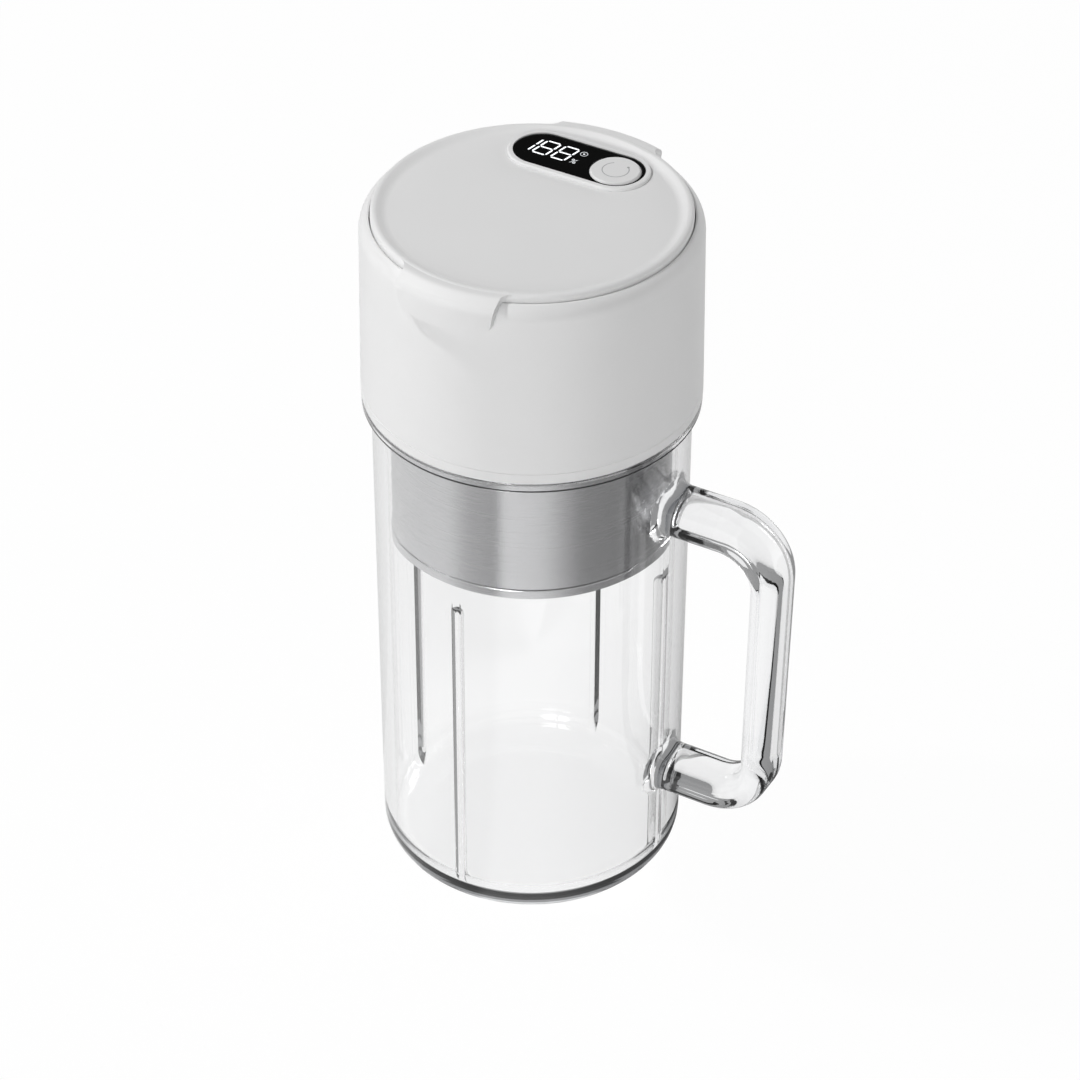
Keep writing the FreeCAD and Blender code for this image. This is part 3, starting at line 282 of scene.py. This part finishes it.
def clear_copolyester():
    """Clear plastic that takes a little light out of a long path, more red than blue.

    A shadow passes it, and light mirrored inside it a few times goes straight on, dimmed.
    """
    most_mirrors, passed_on, through_shadow = 2.5, 0.35, 0.93
    finish = Finish("clear_copolyester", {"Base Color": (1.0, 1.0, 1.0, 1.0), "IOR": 1.52,
                                          "Transmission Weight": 1.0, "Roughness": 0.0})
    absorption = finish.node("ShaderNodeVolumeAbsorption", None,
                             {"Color": (0.74, 0.75, 0.77, 1.0), "Density": 20.0})
    finish.tree.links.new(absorption.outputs[0], finish.output.inputs["Volume"])
    rays = finish.node("ShaderNodeLightPath")
    is_shadow, mirrors = [Wire(finish, rays.outputs[name])
                          for name in ("Is Shadow Ray", "Glossy Depth")]
    surface = finish.shader
    for share, let_through in ((mirrors > most_mirrors, passed_on), (is_shadow, through_shadow)):
        onward = finish.node("ShaderNodeBsdfTransparent", None,
                             {"Color": (let_through, let_through, let_through, 1.0)})
        either = finish.node("ShaderNodeMixShader", None, {"Fac": share})
        finish.tree.links.new(surface.outputs[0], either.inputs[1])
        finish.tree.links.new(onward.outputs[0], either.inputs[2])
        surface = either
    finish.tree.links.new(surface.outputs[0], finish.output.inputs["Surface"])
    return finish.material


def spun_steel():
    """Stainless steel brushed round its axis: fine streaks that run along the turn."""
    colour, dulled = (0.66, 0.66, 0.67), 0.94
    finish = Finish("spun_steel", {"Metallic": 1.0, "Anisotropic": 0.7,
                                   "Anisotropic Rotation": 0.25})
    apart = finish.node("ShaderNodeSeparateXYZ", None, {"Vector": finish.place()})
    height = Wire(finish, apart.outputs["Z"])
    bearing = finish.bearing_share(finish.place())
    lines = finish.wire("ShaderNodeCombineXYZ", None, {"X": bearing * 3.0, "Y": height * 9000.0})
    streaks = finish.noise(lines, scale=1.0, detail=3.0, roughness=0.6)
    dull = [channel * dulled for channel in colour]
    finish.feed("Base Color", finish.blend(streaks, (*dull, 1.0), (*colour, 1.0)))
    finish.feed("Roughness", 0.26 + (streaks - 0.5) * 0.1)
    finish.bump(streaks, strength=0.08, distance=0.00001)
    return finish.material


def machined(name, colour, roughness):
    """Turned or plated metal with a light grain."""
    finish = Finish(name, {"Metallic": 1.0})
    finish.grain(colour, spread=0.05, scale=400.0, roughness=roughness, roughness_spread=0.12)
    return finish.material


def enamelled_copper():
    """Copper wire laid in close turns."""
    finish = Finish("enamelled_copper", {"Metallic": 1.0, "Coat Weight": 0.6})
    turns = finish.wire("ShaderNodeTexWave", {"bands_direction": "Z"},
                        {"Vector": finish.place(), "Scale": 900.0, "Distortion": 0.4}, "Fac")
    finish.feed("Base Color", finish.blend(turns, (0.30, 0.09, 0.04, 1.0),
                                           (0.72, 0.30, 0.14, 1.0)))
    finish.bump(turns, strength=0.5, distance=0.0001)
    return finish.material


def gloss_window():
    """Black display window: deep gloss with a trace of haze."""
    finish = Finish("display_window_black", {"Coat Weight": 0.5, "Coat Roughness": 0.03})
    haze = finish.noise(finish.place(), scale=90.0)
    finish.feed("Base Color", finish.blend(haze, (0.002, 0.002, 0.002, 1.0),
                                           (0.003, 0.003, 0.003, 1.0)))
    finish.feed("Roughness", 0.10 + haze * 0.05)
    return finish.material


def lit_sign(name, strength):
    """A lit display element: white, a touch brighter at its middle."""
    finish = Finish(name, {"Emission Strength": strength, "Roughness": 0.4})
    glow = finish.noise(finish.place(), scale=700.0, detail=1.0)
    lit = finish.blend(glow, (0.82, 0.85, 0.88, 1.0), (0.96, 0.98, 1.0, 1.0))
    finish.feed("Base Color", lit)
    finish.feed("Emission Color", lit)
    return finish.material


def circuit_board():
    """Green solder mask over a pattern of tracks."""
    finish = Finish("solder_mask", {"Coat Weight": 0.3})
    tracks = finish.wire("ShaderNodeTexBrick", None,
                         {"Vector": finish.place(), "Scale": 420.0, "Mortar Size": 0.06,
                          "Color1": (0.02, 0.16, 0.07, 1.0), "Color2": (0.03, 0.20, 0.09, 1.0),
                          "Mortar": (0.06, 0.32, 0.15, 1.0)})
    finish.feed("Base Color", tracks)
    return finish.material


# ---- meshes ---------------------------------------------------------------------------
def tidied(mesh, join_within):
    """Joins a mesh's points within a distance in millimetres, and turns its faces outwards."""
    clean = bmesh.new()
    clean.from_mesh(mesh)
    if join_within:
        bmesh.ops.remove_doubles(clean, verts=clean.verts, dist=join_within * mm)
    bmesh.ops.recalc_face_normals(clean, faces=clean.faces)
    clean.to_mesh(mesh)
    clean.free()


def mesh_object(name, points, faces, material, smooth=True, join_within=0.0):
    """A mesh piece from points in millimetres."""
    mesh = bpy.data.meshes.new(name)
    mesh.from_pydata([tuple(Vector(point) * mm) for point in points], [], faces)
    mesh.validate()
    tidied(mesh, join_within)
    for face in mesh.polygons:
        face.use_smooth = smooth
    mesh.materials.append(material)
    piece = bpy.data.objects.new(name, mesh)
    bpy.context.scene.collection.objects.link(piece)
    return piece


def weighted(piece):
    """Lets the large faces set the shading, so that flats stay flat up to their rounding."""
    modifier = piece.modifiers.new("weighted", "WEIGHTED_NORMAL")
    modifier.mode = "FACE_AREA"
    modifier.weight = 80


def rounded(corners, steps):
    """Points along an open line of (across, up) or (across, up, radius) corners."""
    points = [Vector(corners[0][:2])]
    for before, here, after in zip(corners, corners[1:], corners[2:]):
        corner = Vector(here[:2])
        if len(here) == 2:
            points.append(corner)
            continue
        to_before = (Vector(before[:2]) - corner).normalized()
        to_after = (Vector(after[:2]) - corner).normalized()
        half = to_before.angle(to_after) / 2
        reach = here[2] / math.tan(half)
        centre = corner + (to_before + to_after).normalized() * here[2] / math.sin(half)
        first = corner + to_before * reach - centre
        last = corner + to_after * reach - centre
        sweep = math.pi - 2 * half
        turn = 1 if first.x * last.y - first.y * last.x > 0 else -1
        for step in range(steps + 1):
            angle = turn * sweep * step / steps
            points.append(centre + Matrix.Rotation(angle, 2) @ first)
    points.append(Vector(corners[-1][:2]))
    return points


def filled(points):
    """Adds points on long runs: one close to each end, then even steps between."""
    out = [points[0]]
    for start, end in zip(points, points[1:]):
        run = end - start
        if run.length > 3 * row_support:
            near = run.normalized() * row_support
            count = max(1, math.ceil((run.length - 2 * row_support) / row_step))
            inside = run - 2 * near
            out += [start + near + inside * step / count for step in range(count + 1)]
        out.append(end)
    return out


def ring_quads(rows, count):
    """Faces between rings of as many points each, every ring closed on itself."""
    return [(row * count + column, row * count + (column + 1) % count,
             (row + 1) * count + (column + 1) % count, (row + 1) * count + column)
            for row in range(rows - 1) for column in range(count)]


# ---- clear jar ------------------------------------------------------------------------
def wall_radius(height):
    """Outside radius of the jar's tapered wall."""
    return wall_base_radius + wall_taper * height / flange_bottom


def inner_radius(height):
    """Inside radius of the jar's wall, a straight line from the floor to the neck."""
    share = (height - jar_floor) / (neck_top - jar_floor)
    return inner_base_radius + (neck_inner - inner_base_radius) * share


def nearest(bearing, others):
    """Degrees from one bearing to the nearest of some others."""
    return min(abs((bearing - other + 180) % 360 - 180) for other in others)


def jar_columns():
    """Bearings of the lathe's columns in degrees: even, and close together at ribs and lugs."""
    marks = set()
    for bearing in rib_bearings:
        for share in rib_columns:
            marks.update({bearing + share * rib_half, bearing - share * rib_half})
    for bearing in lug_bearings:
        for edge in (-0.5, 0.5):
            marks.update({bearing + edge * lug_angle, bearing + edge * (lug_angle - 2 * lug_side)})
    marks = {round(mark % 360.0, 4) for mark in marks}
    for step in range(round(360 / column_step)):
        even = step * column_step
        if nearest(even, marks) > column_room:
            marks.add(even)
    return sorted(marks)


def rib_share(bearing):
    """1 on a rib's middle, falling round its nose to 0 at its side."""
    away = nearest(bearing, rib_bearings) / rib_half
    return max(0.0, 1 - min(away, 1.0) ** rib_squareness) ** 0.5


def jar_profile():
    """Rows of (point, kind) from the base's edge, up the outside and down the inside."""
    lug_low, lug_high = lug_heights
    outside = rounded([(0, 0), (wall_base_radius, 0, base_corner),
                       (wall_top_radius, flange_bottom, flange_edge),
                       (flange_radius, flange_bottom, flange_edge),
                       (flange_radius, flange_top, flange_edge), (neck_radius, flange_top)],
                      bend_rows)
    neck = [Vector((neck_radius, lug_low - lug_lead)), Vector((neck_radius, lug_low))]
    lug = [Vector((neck_radius, height)) for height in (lug_low + lug_edge, lug_high - lug_edge)]
    rim = rounded([(neck_radius, lug_high), (neck_radius, neck_top, neck_edge),
                   (neck_inner, neck_top, neck_edge),
                   (inner_base_radius, jar_floor, floor_corner), (0, jar_floor)], rim_rows)
    rows = [(point, "plain") for point in filled(outside) + neck]
    rows += [(point, "lug") for point in lug]
    for point in filled(rim):
        if point.y < rib_top and rows[-1][1] != "rib":
            rows += [(Vector((inner_radius(rib_top - drop), rib_top - drop)), "rib")
                     for drop in rib_end_rows]
        rows.append((point, "rib" if point.y < rib_top else "plain"))
    return [row for row in rows if row[0].x > axis_room]


def rib_radius(point, share):
    """The inner wall's radius on a rib, whose top is rounded off."""
    nose = inner_base_radius - rib_depth
    below = rib_top - point.y
    if below < rib_depth:
        nose += rib_depth - math.sqrt(max(0.0, rib_depth ** 2 - (rib_depth - below) ** 2))
    return point.x + (min(point.x, nose) - point.x) * share


def jar_body(material):
    """The jar turned on a lathe, with its inner ribs and its bayonet lugs."""
    rows, columns = jar_profile(), jar_columns()
    points = []
    for point, kind in rows:
        for bearing in columns:
            radius = point.x
            if kind == "rib":
                radius = rib_radius(point, rib_share(bearing))
            elif kind == "lug" and nearest(bearing, lug_bearings) < (lug_angle - lug_side) / 2:
                radius += lug_depth
            angle = math.radians(bearing)
            points.append((radius * math.cos(angle), radius * math.sin(angle), point.y))
    count = len(columns)
    faces = ring_quads(len(rows), count)
    for row, height in ((0, 0.0), (len(rows) - 1, jar_floor)):
        centre = len(points)
        points.append((0, 0, height))
        faces += [(centre, row * count + column, row * count + (column + 1) % count)
                  for column in range(count)]
    return mesh_object("jar_body", points, faces, material)


def handle_path():
    """Matching points on the handle's outer and inner outline, in (x, z)."""
    inner_reach = handle_reach - handle_grip
    start = wall_base_radius + arm_start
    outer = [(start, handle_top), (handle_reach, handle_top, outer_bend),
             (handle_reach - handle_lean, handle_bottom, outer_bend), (start, handle_bottom)]
    inner = [(start, handle_top - handle_top_arm),
             (inner_reach, handle_top - handle_top_arm, inner_bend),
             (inner_reach - handle_lean / 2, handle_bottom + handle_bottom_arm, inner_bend),
             (start, handle_bottom + handle_bottom_arm)]
    pairs = list(zip(rounded(outer, bend_steps), rounded(inner, bend_steps)))
    path = [pairs[0]]
    for (outer_a, inner_a), (outer_b, inner_b) in zip(pairs, pairs[1:]):
        count = max(1, round((outer_b - outer_a).length / sweep_step))
        path += [(outer_a.lerp(outer_b, step / count), inner_a.lerp(inner_b, step / count))
                 for step in range(1, count + 1)]
    return path


def handle_section(half_width, half_height, edge):
    """A rounded rectangle as (sideways, up) points about its middle."""
    quarter = []
    for step in range(corner_steps + 1):
        angle = math.radians(90.0 * step / corner_steps)
        quarter.append((half_width - edge + edge * math.cos(angle),
                        half_height - edge + edge * math.sin(angle)))
    flat = [(half_width - edge) * share for share in flat_shares]
    side = [(half_height - edge) * share for share in side_shares]
    ring = quarter + [(across, half_height) for across in flat]
    ring += [(-across, up) for across, up in reversed(quarter)]
    ring += [(-half_width, up) for up in side]
    ring += [(-across, -up) for across, up in quarter]
    ring += [(-across, -half_height) for across in flat]
    ring += [(across, -up) for across, up in reversed(quarter)]
    ring += [(half_width, -up) for up in side]
    return ring


def root_rings(top, bottom):
    """Rings of one arm from inside the wall, out along its flare, in millimetres."""
    middle, half_height = (top + bottom) / 2, (top - bottom) / 2
    rings = []
    flare = [root_flare * (1 - math.cos(math.radians(angle))) for angle in root_angles]
    for out in [-root_overlap, -root_skin, *flare, *arm_rings]:
        inward = min(max(1 - (out + root_sink) / root_flare, 0.0), 1.0)
        spread = root_flare * (1 - math.sqrt(1 - inward ** 2))
        if out < 0:
            sunk = 1 - root_sink / root_flare
            spread = root_flare * (1 - math.sqrt(1 - sunk ** 2)) + root_spread
        flatten = min(max((out - root_flare) / (arm_rings[-1] - root_flare), 0.0), 1.0)
        section = handle_section(handle_half_width + spread, half_height + spread,
                                 handle_edge + spread)
        ring = []
        for across, up in section:
            wall = math.sqrt(wall_radius(middle + up) ** 2 - across ** 2)
            straight = wall_radius(middle)
            ring.append((wall + (straight - wall) * flatten + out, across, middle + up))
        rings.append(ring)
    return rings


def jar_handle(material):
    """The loop handle: a rounded bar swept round the grip, flared where it meets the jar."""
    upper = root_rings(handle_top, handle_top - handle_top_arm)
    lower = root_rings(handle_bottom + handle_bottom_arm, handle_bottom)
    grip = []
    for outer, inner in handle_path():
        middle, half = (outer + inner) / 2, (outer - inner) / 2
        outward = half.normalized()
        edge = min(handle_edge, half.length - edge_room)
        section = handle_section(handle_half_width, half.length, edge)
        grip.append([(middle.x + outward.x * up, across, middle.y + outward.y * up)
                     for across, up in section])
    order = turned_over()
    rings = upper + grip + [[ring[k] for k in order] for ring in reversed(lower)]
    count = len(order)
    points = [point for ring in rings for point in ring]
    faces = ring_quads(len(rings), count)
    faces.append(tuple(range(count)))
    faces.append(tuple(range(len(points) - count, len(points))))
    return mesh_object("jar_loop", points, faces, material)


def turned_over():
    """For each point of a section, the number of the one that lies over or under it.

    The grip's outward side is up in the upper arm and down in the lower one.
    """
    section = handle_section(handle_half_width, handle_bottom_arm / 2, handle_edge)
    return [min(range(len(section)), key=lambda k: math.dist(section[k], (across, -up)))
            for across, up in section]


def clear_jar():
    """Jar and handle as one clear moulding."""
    material = clear_copolyester()
    body, loop = jar_body(material), jar_handle(material)
    union = body.modifiers.new("union", "BOOLEAN")
    union.operation, union.solver, union.object = "UNION", "EXACT", loop
    seen = body.evaluated_get(bpy.context.evaluated_depsgraph_get())
    mesh = bpy.data.meshes.new_from_object(seen)
    for part in (body, loop):
        bpy.data.objects.remove(part)
    mesh.name = "jar_glass"
    tidied(mesh, join_jar)
    piece = bpy.data.objects.new("jar_glass", mesh)
    bpy.context.scene.collection.objects.link(piece)
    for face in mesh.polygons:
        face.use_smooth = True
    weighted(piece)
    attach(piece, "jar")
    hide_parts("jar", "jar_handle")


# ---- display and button ---------------------------------------------------------------
sign_lift = 0.03            # lit signs above the window's face
join_signs = 0.0001         # points of one plate nearer than this are one
digit_height = 6.7
digit_low = window_middle.y - 2.4       # the digits' feet
digit_slant = 1.25          # the digits' tops lean this far to the right
digit_width = 3.75
digit_first = window_low.x + 5.45       # foot of the first whole digit
digit_pitch = 5.2
one_gap = 1.2               # from the figure one to the digit after it
bar = 0.45                  # width of a digit's bar
bar_gap = 0.2
sign_ring = 0.92            # ring of the charging sign
sign_line = 0.13
sign_dot = 0.28
sign_place = (window_middle.x - 0.2, window_middle.y + 2.95)
percent_place = (window_middle.x - 0.85, window_middle.y - 1.2)
percent_width = 1.35
percent_height = 1.7
percent_ring = 0.3
percent_line = 0.2
mark_ring = 3.3             # ring drawn on the button
mark_line = 0.25
mark_dot = 0.34
mark_first = 124.0          # bearings of its two ends, from +X
mark_last = 408.0
mark_lift = 0.02


def slanted(across, up):
    """A point of a digit, leaned over, on the window's face."""
    return across + digit_slant * up / digit_height, digit_low + up


def digit_bar(start, end):
    """A bar with pointed ends between two points, as its outline."""
    start, end = Vector(start), Vector(end)
    along = (end - start).normalized()
    side = Vector((-along.y, along.x)) * bar / 2
    start, end = start + along * bar_gap, end - along * bar_gap
    tip = along * bar / 2
    return [start, start + tip + side, end - tip + side, end, end - tip - side, start + tip - side]


def digit_outlines():
    """The bars of the lit figures one, eight, eight."""
    half = bar / 2
    top, waist, foot = digit_height - half, digit_height / 2, half
    one = digit_first - one_gap
    bars = [((one, foot), (one, waist)), ((one, waist), (one, top))]
    for place in (digit_first, digit_first + digit_pitch):
        left, right = place, place + digit_width
        bars += [((left, level), (right, level)) for level in (foot, waist, top)]
        bars += [((across, foot), (across, waist)) for across in (left, right)]
        bars += [((across, waist), (across, top)) for across in (left, right)]
    return [[slanted(*point) for point in digit_bar(start, end)] for start, end in bars]


def ring_outline(centre, radius, width, first=0.0, sweep=360.0, steps=40):
    """A band round part of a circle, as quads."""
    quads = []
    for step in range(steps):
        angles = [math.radians(first + sweep * (step + ahead) / steps) for ahead in (0, 1)]
        quads.append([(centre[0] + math.cos(angle) * reach, centre[1] + math.sin(angle) * reach)
                      for angle, reach in ((angles[0], radius - width / 2),
                                           (angles[0], radius + width / 2),
                                           (angles[1], radius + width / 2),
                                           (angles[1], radius - width / 2))])
    return quads


def disc_outline(centre, radius, steps=20):
    """A round spot, as the only one of its outlines."""
    return [[(centre[0] + radius * math.cos(math.tau * k / steps),
              centre[1] + radius * math.sin(math.tau * k / steps)) for k in range(steps)]]


def outline_edges(outline):
    """An outline's edges, each the same whichever way it runs."""
    ends = [(round(x, 5), round(y, 5)) for x, y in outline]
    return [frozenset(pair) for pair in zip(ends, ends[1:] + ends[:1])]


def sign_plate(name, outlines, low, high, material):
    """Thin raised plates of the given outlines, with no wall where two of them meet."""
    points, faces = [], []
    all_edges = [edge for outline in outlines for edge in outline_edges(outline)]
    for outline in outlines:
        first, count = len(points), len(outline)
        points += [(x, y, low) for x, y in outline] + [(x, y, high) for x, y in outline]
        faces.append(tuple(range(first + count - 1, first - 1, -1)))
        faces.append(tuple(range(first + count, first + 2 * count)))
        for k, edge in enumerate(outline_edges(outline)):
            after = (k + 1) % count
            if all_edges.count(edge) == 1:
                faces.append((first + k, first + after, first + count + after, first + count + k))
    return mesh_object(name, points, faces, material, False, join_signs)


def percent_outlines():
    """A small percent sign: two rings and a stroke between them."""
    x, y = percent_place
    across, up = percent_width / 2, percent_height / 2
    half = percent_line / 2
    rings = [ring_outline((x + side * (across - percent_ring), y - side * (up - percent_ring)),
                          percent_ring, percent_line, steps=16) for side in (-1, 1)]
    stroke = [(x - across - half, y - up), (x - across + half, y - up), (x + across + half, y + up),
              (x + across - half, y + up)]
    return rings[0] + rings[1] + [stroke]


def lit_display():
    """The lit figures, the percent sign and the charging sign in the window."""
    face = window_high.z
    charging = ring_outline(sign_place, sign_ring, sign_line) + disc_outline(sign_place, sign_dot)
    signs = (("display_figures", digit_outlines(), lit_sign("lit_figures", strength=0.9)),
             ("display_charging", charging, lit_sign("lit_charging", strength=0.35)),
             ("display_percent", percent_outlines(), lit_sign("lit_percent", strength=0.3)))
    for name, outlines, finish in signs:
        piece = sign_plate(name, outlines, face, face + sign_lift, finish)
        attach(piece, "head")


def button_mark():
    """The ring with an open top, drawn on the power button."""
    centre = (button_centre.x, button_centre.y)
    end = math.radians(mark_last)
    dot = (centre[0] + mark_ring * math.cos(end), centre[1] + mark_ring * math.sin(end))
    outlines = ring_outline(centre, mark_ring, mark_line, mark_first, mark_last - mark_first,
                            steps=48)
    outlines += disc_outline(dot, mark_dot)
    top = button_high.z
    piece = sign_plate("button_mark", outlines, top, top + mark_lift,
                       moulded("button_mark_grey", (0.50, 0.50, 0.51), roughness=0.5))
    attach(piece, "button")


# ---- finishes of the frame's own nodes ------------------------------------------------
def dress_nodes():
    """Gives each frame node its slot's finish, and the finely turned ones a finish of their own."""
    turned_steel = machined("turned_steel", (0.70, 0.70, 0.71), roughness=0.2)
    turned_nodes = ("blade_spindle", "blade_spacer", "lock_nut", "skirt_screws")
    finishes = {
        "silicone": moulded("clear_silicone", (0.70, 0.71, 0.72), roughness=0.4),
        "silicone_white": moulded("white_silicone", (0.80, 0.80, 0.80), roughness=0.6),
        "white_shell": moulded("white_shell", (0.86, 0.86, 0.86), roughness=0.42),
        "white_cover": moulded("white_cover", (0.86, 0.86, 0.86), roughness=0.55),
        "grey_plastic": moulded("grey_moulding", (0.52, 0.52, 0.53), roughness=0.5),
        "black_plastic": moulded("black_moulding", (0.02, 0.02, 0.02), roughness=0.45),
        "seal_rubber": moulded("seal_rubber", (0.03, 0.03, 0.03), roughness=0.7),
        "carbon": moulded("carbon_block", (0.04, 0.04, 0.04), roughness=0.6),
        "cell_wrap": moulded("cell_sleeve", (0.05, 0.16, 0.40), roughness=0.25),
        "button_grey": moulded("button_grey", (0.87, 0.87, 0.87), roughness=0.4),
        "plated_steel": machined("zinc_plate", (0.62, 0.63, 0.65), roughness=0.28),
        "bronze": machined("sintered_bronze", (0.50, 0.33, 0.16), roughness=0.45),
        "magnet": machined("ferrite", (0.12, 0.12, 0.13), roughness=0.55),
        "stainless": spun_steel(),
        "copper": enamelled_copper(),
        "circuit_board": circuit_board(),
        "display_black": gloss_window(),
    }
    for row in frame["record"]["subparts"]:
        if row["node"] in ("jar", "jar_handle"):
            continue
        node = nodes[row["node"]]
        material = turned_steel if row["node"] in turned_nodes else finishes[row["material_slot"]]
        node.data.materials.clear()
        node.data.materials.append(material)


# ---- studio ---------------------------------------------------------------------------
view_bearing = 29.46        # camera's bearing from -Y, degrees
view_height = 37.14         # and its elevation
view_distance = 1.0         # metres
view_aim = Vector((0.0, 0.0, 0.09473))
view_shift = 0.002078       # the aim's step to the camera's right
view_roll = -0.0027
view_focal = 130.34         # on view_frame
view_frame = 36.0

lamp_aim = Vector((0.0, 0.0, 0.15))     # in the head, metres
sky_light = 0.26            # soft light from all round, above the floor
floor_share = 0.97          # of the floor as it is seen; the rest of it takes the shadow
floor_half = 4000.0         # millimetres
floor_drop = 0.0001         # metres under the jar's base
wall_crossings = (0.5, 3.5)     # a ray that has crossed one to three faces is in one wall

# What polished surfaces mirror, by bearing from -X anticlockwise: a white wall, a grey flag,
# a white card beside the camera and a dark flag on the handle's side.
card_tones = [(0.15, 0.95), (0.22, 0.50), (0.26, 0.40), (0.28, 1.0), (0.33, 0.95), (0.45, 0.25),
              (0.60, 0.10), (0.85, 0.80)]
# And by height above the horizon, as the sine: a pale wall under a dark ceiling.
ceiling_tones = [(0.0, 0.95), (0.15, 0.80), (0.40, 0.03), (1.0, 0.02)]


def direction(bearing, height):
    """The way from the blender to a place in the studio, by bearing from -Y and elevation."""
    turn, rise = math.radians(bearing), math.radians(height)
    return Vector((math.sin(turn) * math.cos(rise), -math.cos(turn) * math.cos(rise),
                   math.sin(rise)))


def camera():
    """Aimed beside a point on the blender's axis, and rolled a little about its own."""
    bearing = math.radians(view_bearing)
    back = direction(view_bearing, view_height)
    right = Vector((math.cos(bearing), math.sin(bearing), 0.0))
    lens = bpy.data.cameras.new("camera")
    lens.lens, lens.sensor_width = view_focal, view_frame
    lens.clip_start = 0.05
    seat = bpy.data.objects.new("camera", lens)
    bpy.context.scene.collection.objects.link(seat)
    seat.location = view_aim + right * view_shift + back * view_distance
    turn = (-back).to_track_quat("-Z", "Y").to_matrix() @ Matrix.Rotation(-view_roll, 3, "Z")
    seat.rotation_euler = turn.to_euler()
    bpy.context.scene.camera = seat


def ray_kinds(board):
    """Factors for rays that see the studio at all, and for those that see it in a mirror."""
    rays = board.node("ShaderNodeLightPath")
    looks, mirrors, passes = [Wire(board, rays.outputs[name]) for name in
                              ("Is Camera Ray", "Is Glossy Ray", "Is Transmission Ray")]
    seen = board.maths("MINIMUM", looks + mirrors + passes, 1.0)
    crossings = Wire(board, rays.outputs["Transmission Depth"])
    within_wall = (crossings > wall_crossings[0]) * (crossings < wall_crossings[1])
    mirrored = (Wire(board, rays.outputs["Glossy Depth"]) > 0.5) * (1 - looks) * (1 - within_wall)
    return seen, mirrored


def world():
    """An even soft light, white where it is seen, and a wall and ceiling where it is mirrored."""
    sky = bpy.data.worlds.new("studio")
    bpy.context.scene.world = sky
    sky.use_nodes = True
    board = Board(sky.node_tree)
    seen, mirrored = ray_kinds(board)
    outward = board.wire("ShaderNodeTexCoord", output="Generated")
    apart = board.node("ShaderNodeSeparateXYZ", None, {"Vector": outward})
    ceiling = board.ramp(Wire(board, apart.outputs["Z"]), ceiling_tones)
    tone = board.blend(mirrored, (1.0, 1.0, 1.0, 1.0), ceiling)
    light = board.blend(seen, (sky_light, sky_light, sky_light, 1.0), tone)
    background = sky.node_tree.nodes["Background"]
    sky.node_tree.links.new(light.socket, background.inputs["Color"])


def floor():
    """A white floor, on which the studio cards lie where it is mirrored."""
    finish = Finish("white_floor", {"Base Color": (0.92, 0.92, 0.92, 1.0), "Roughness": 0.9,
                                    "Specular IOR Level": 0.1})
    seen, mirrored = ray_kinds(finish)
    cards = finish.ramp(finish.bearing_share(finish.place()), card_tones, "EASE")
    tone = finish.blend(mirrored, (1.0, 1.0, 1.0, 1.0), cards)
    glow = finish.node("ShaderNodeEmission", None, {"Color": tone, "Strength": 1.0})
    either = finish.node("ShaderNodeMixShader", None, {"Fac": seen * floor_share})
    finish.tree.links.new(finish.shader.outputs[0], either.inputs[1])
    finish.tree.links.new(glow.outputs[0], either.inputs[2])
    finish.tree.links.new(either.outputs[0], finish.output.inputs["Surface"])
    corners = [(x * floor_half, y * floor_half, 0) for x, y in ((-1, -1), (1, -1), (1, 1), (-1, 1))]
    sheet = mesh_object("floor", corners, [(0, 1, 2, 3)], finish.material)
    sheet.location.z = -floor_drop


def lamp(name, bearing, height, distance, size, power, mirrored=True):
    """An area lamp aimed at the head."""
    back = direction(bearing, height)
    light = bpy.data.lights.new(name, "AREA")
    light.shape, light.size, light.energy = "DISK", size, power
    seat = bpy.data.objects.new(name, light)
    bpy.context.scene.collection.objects.link(seat)
    seat.location = lamp_aim + back * distance
    seat.rotation_euler = (-back).to_track_quat("-Z", "Y").to_euler()
    seat.visible_glossy = mirrored


# ---- putting it together --------------------------------------------------------------
dress_nodes()
clear_jar()
lit_display()
button_mark()
camera()
world()
floor()
lamp("key", bearing=-72.0, height=54.0, distance=1.2, size=0.08, power=7.1)
lamp("fill", bearing=9.5, height=15.0, distance=1.4, size=0.6, power=6.6, mirrored=False)
lamp("rim", bearing=148.0, height=8.0, distance=1.4, size=0.5, power=6.2, mirrored=False)
bpy.context.scene.view_settings.view_transform = "Standard"
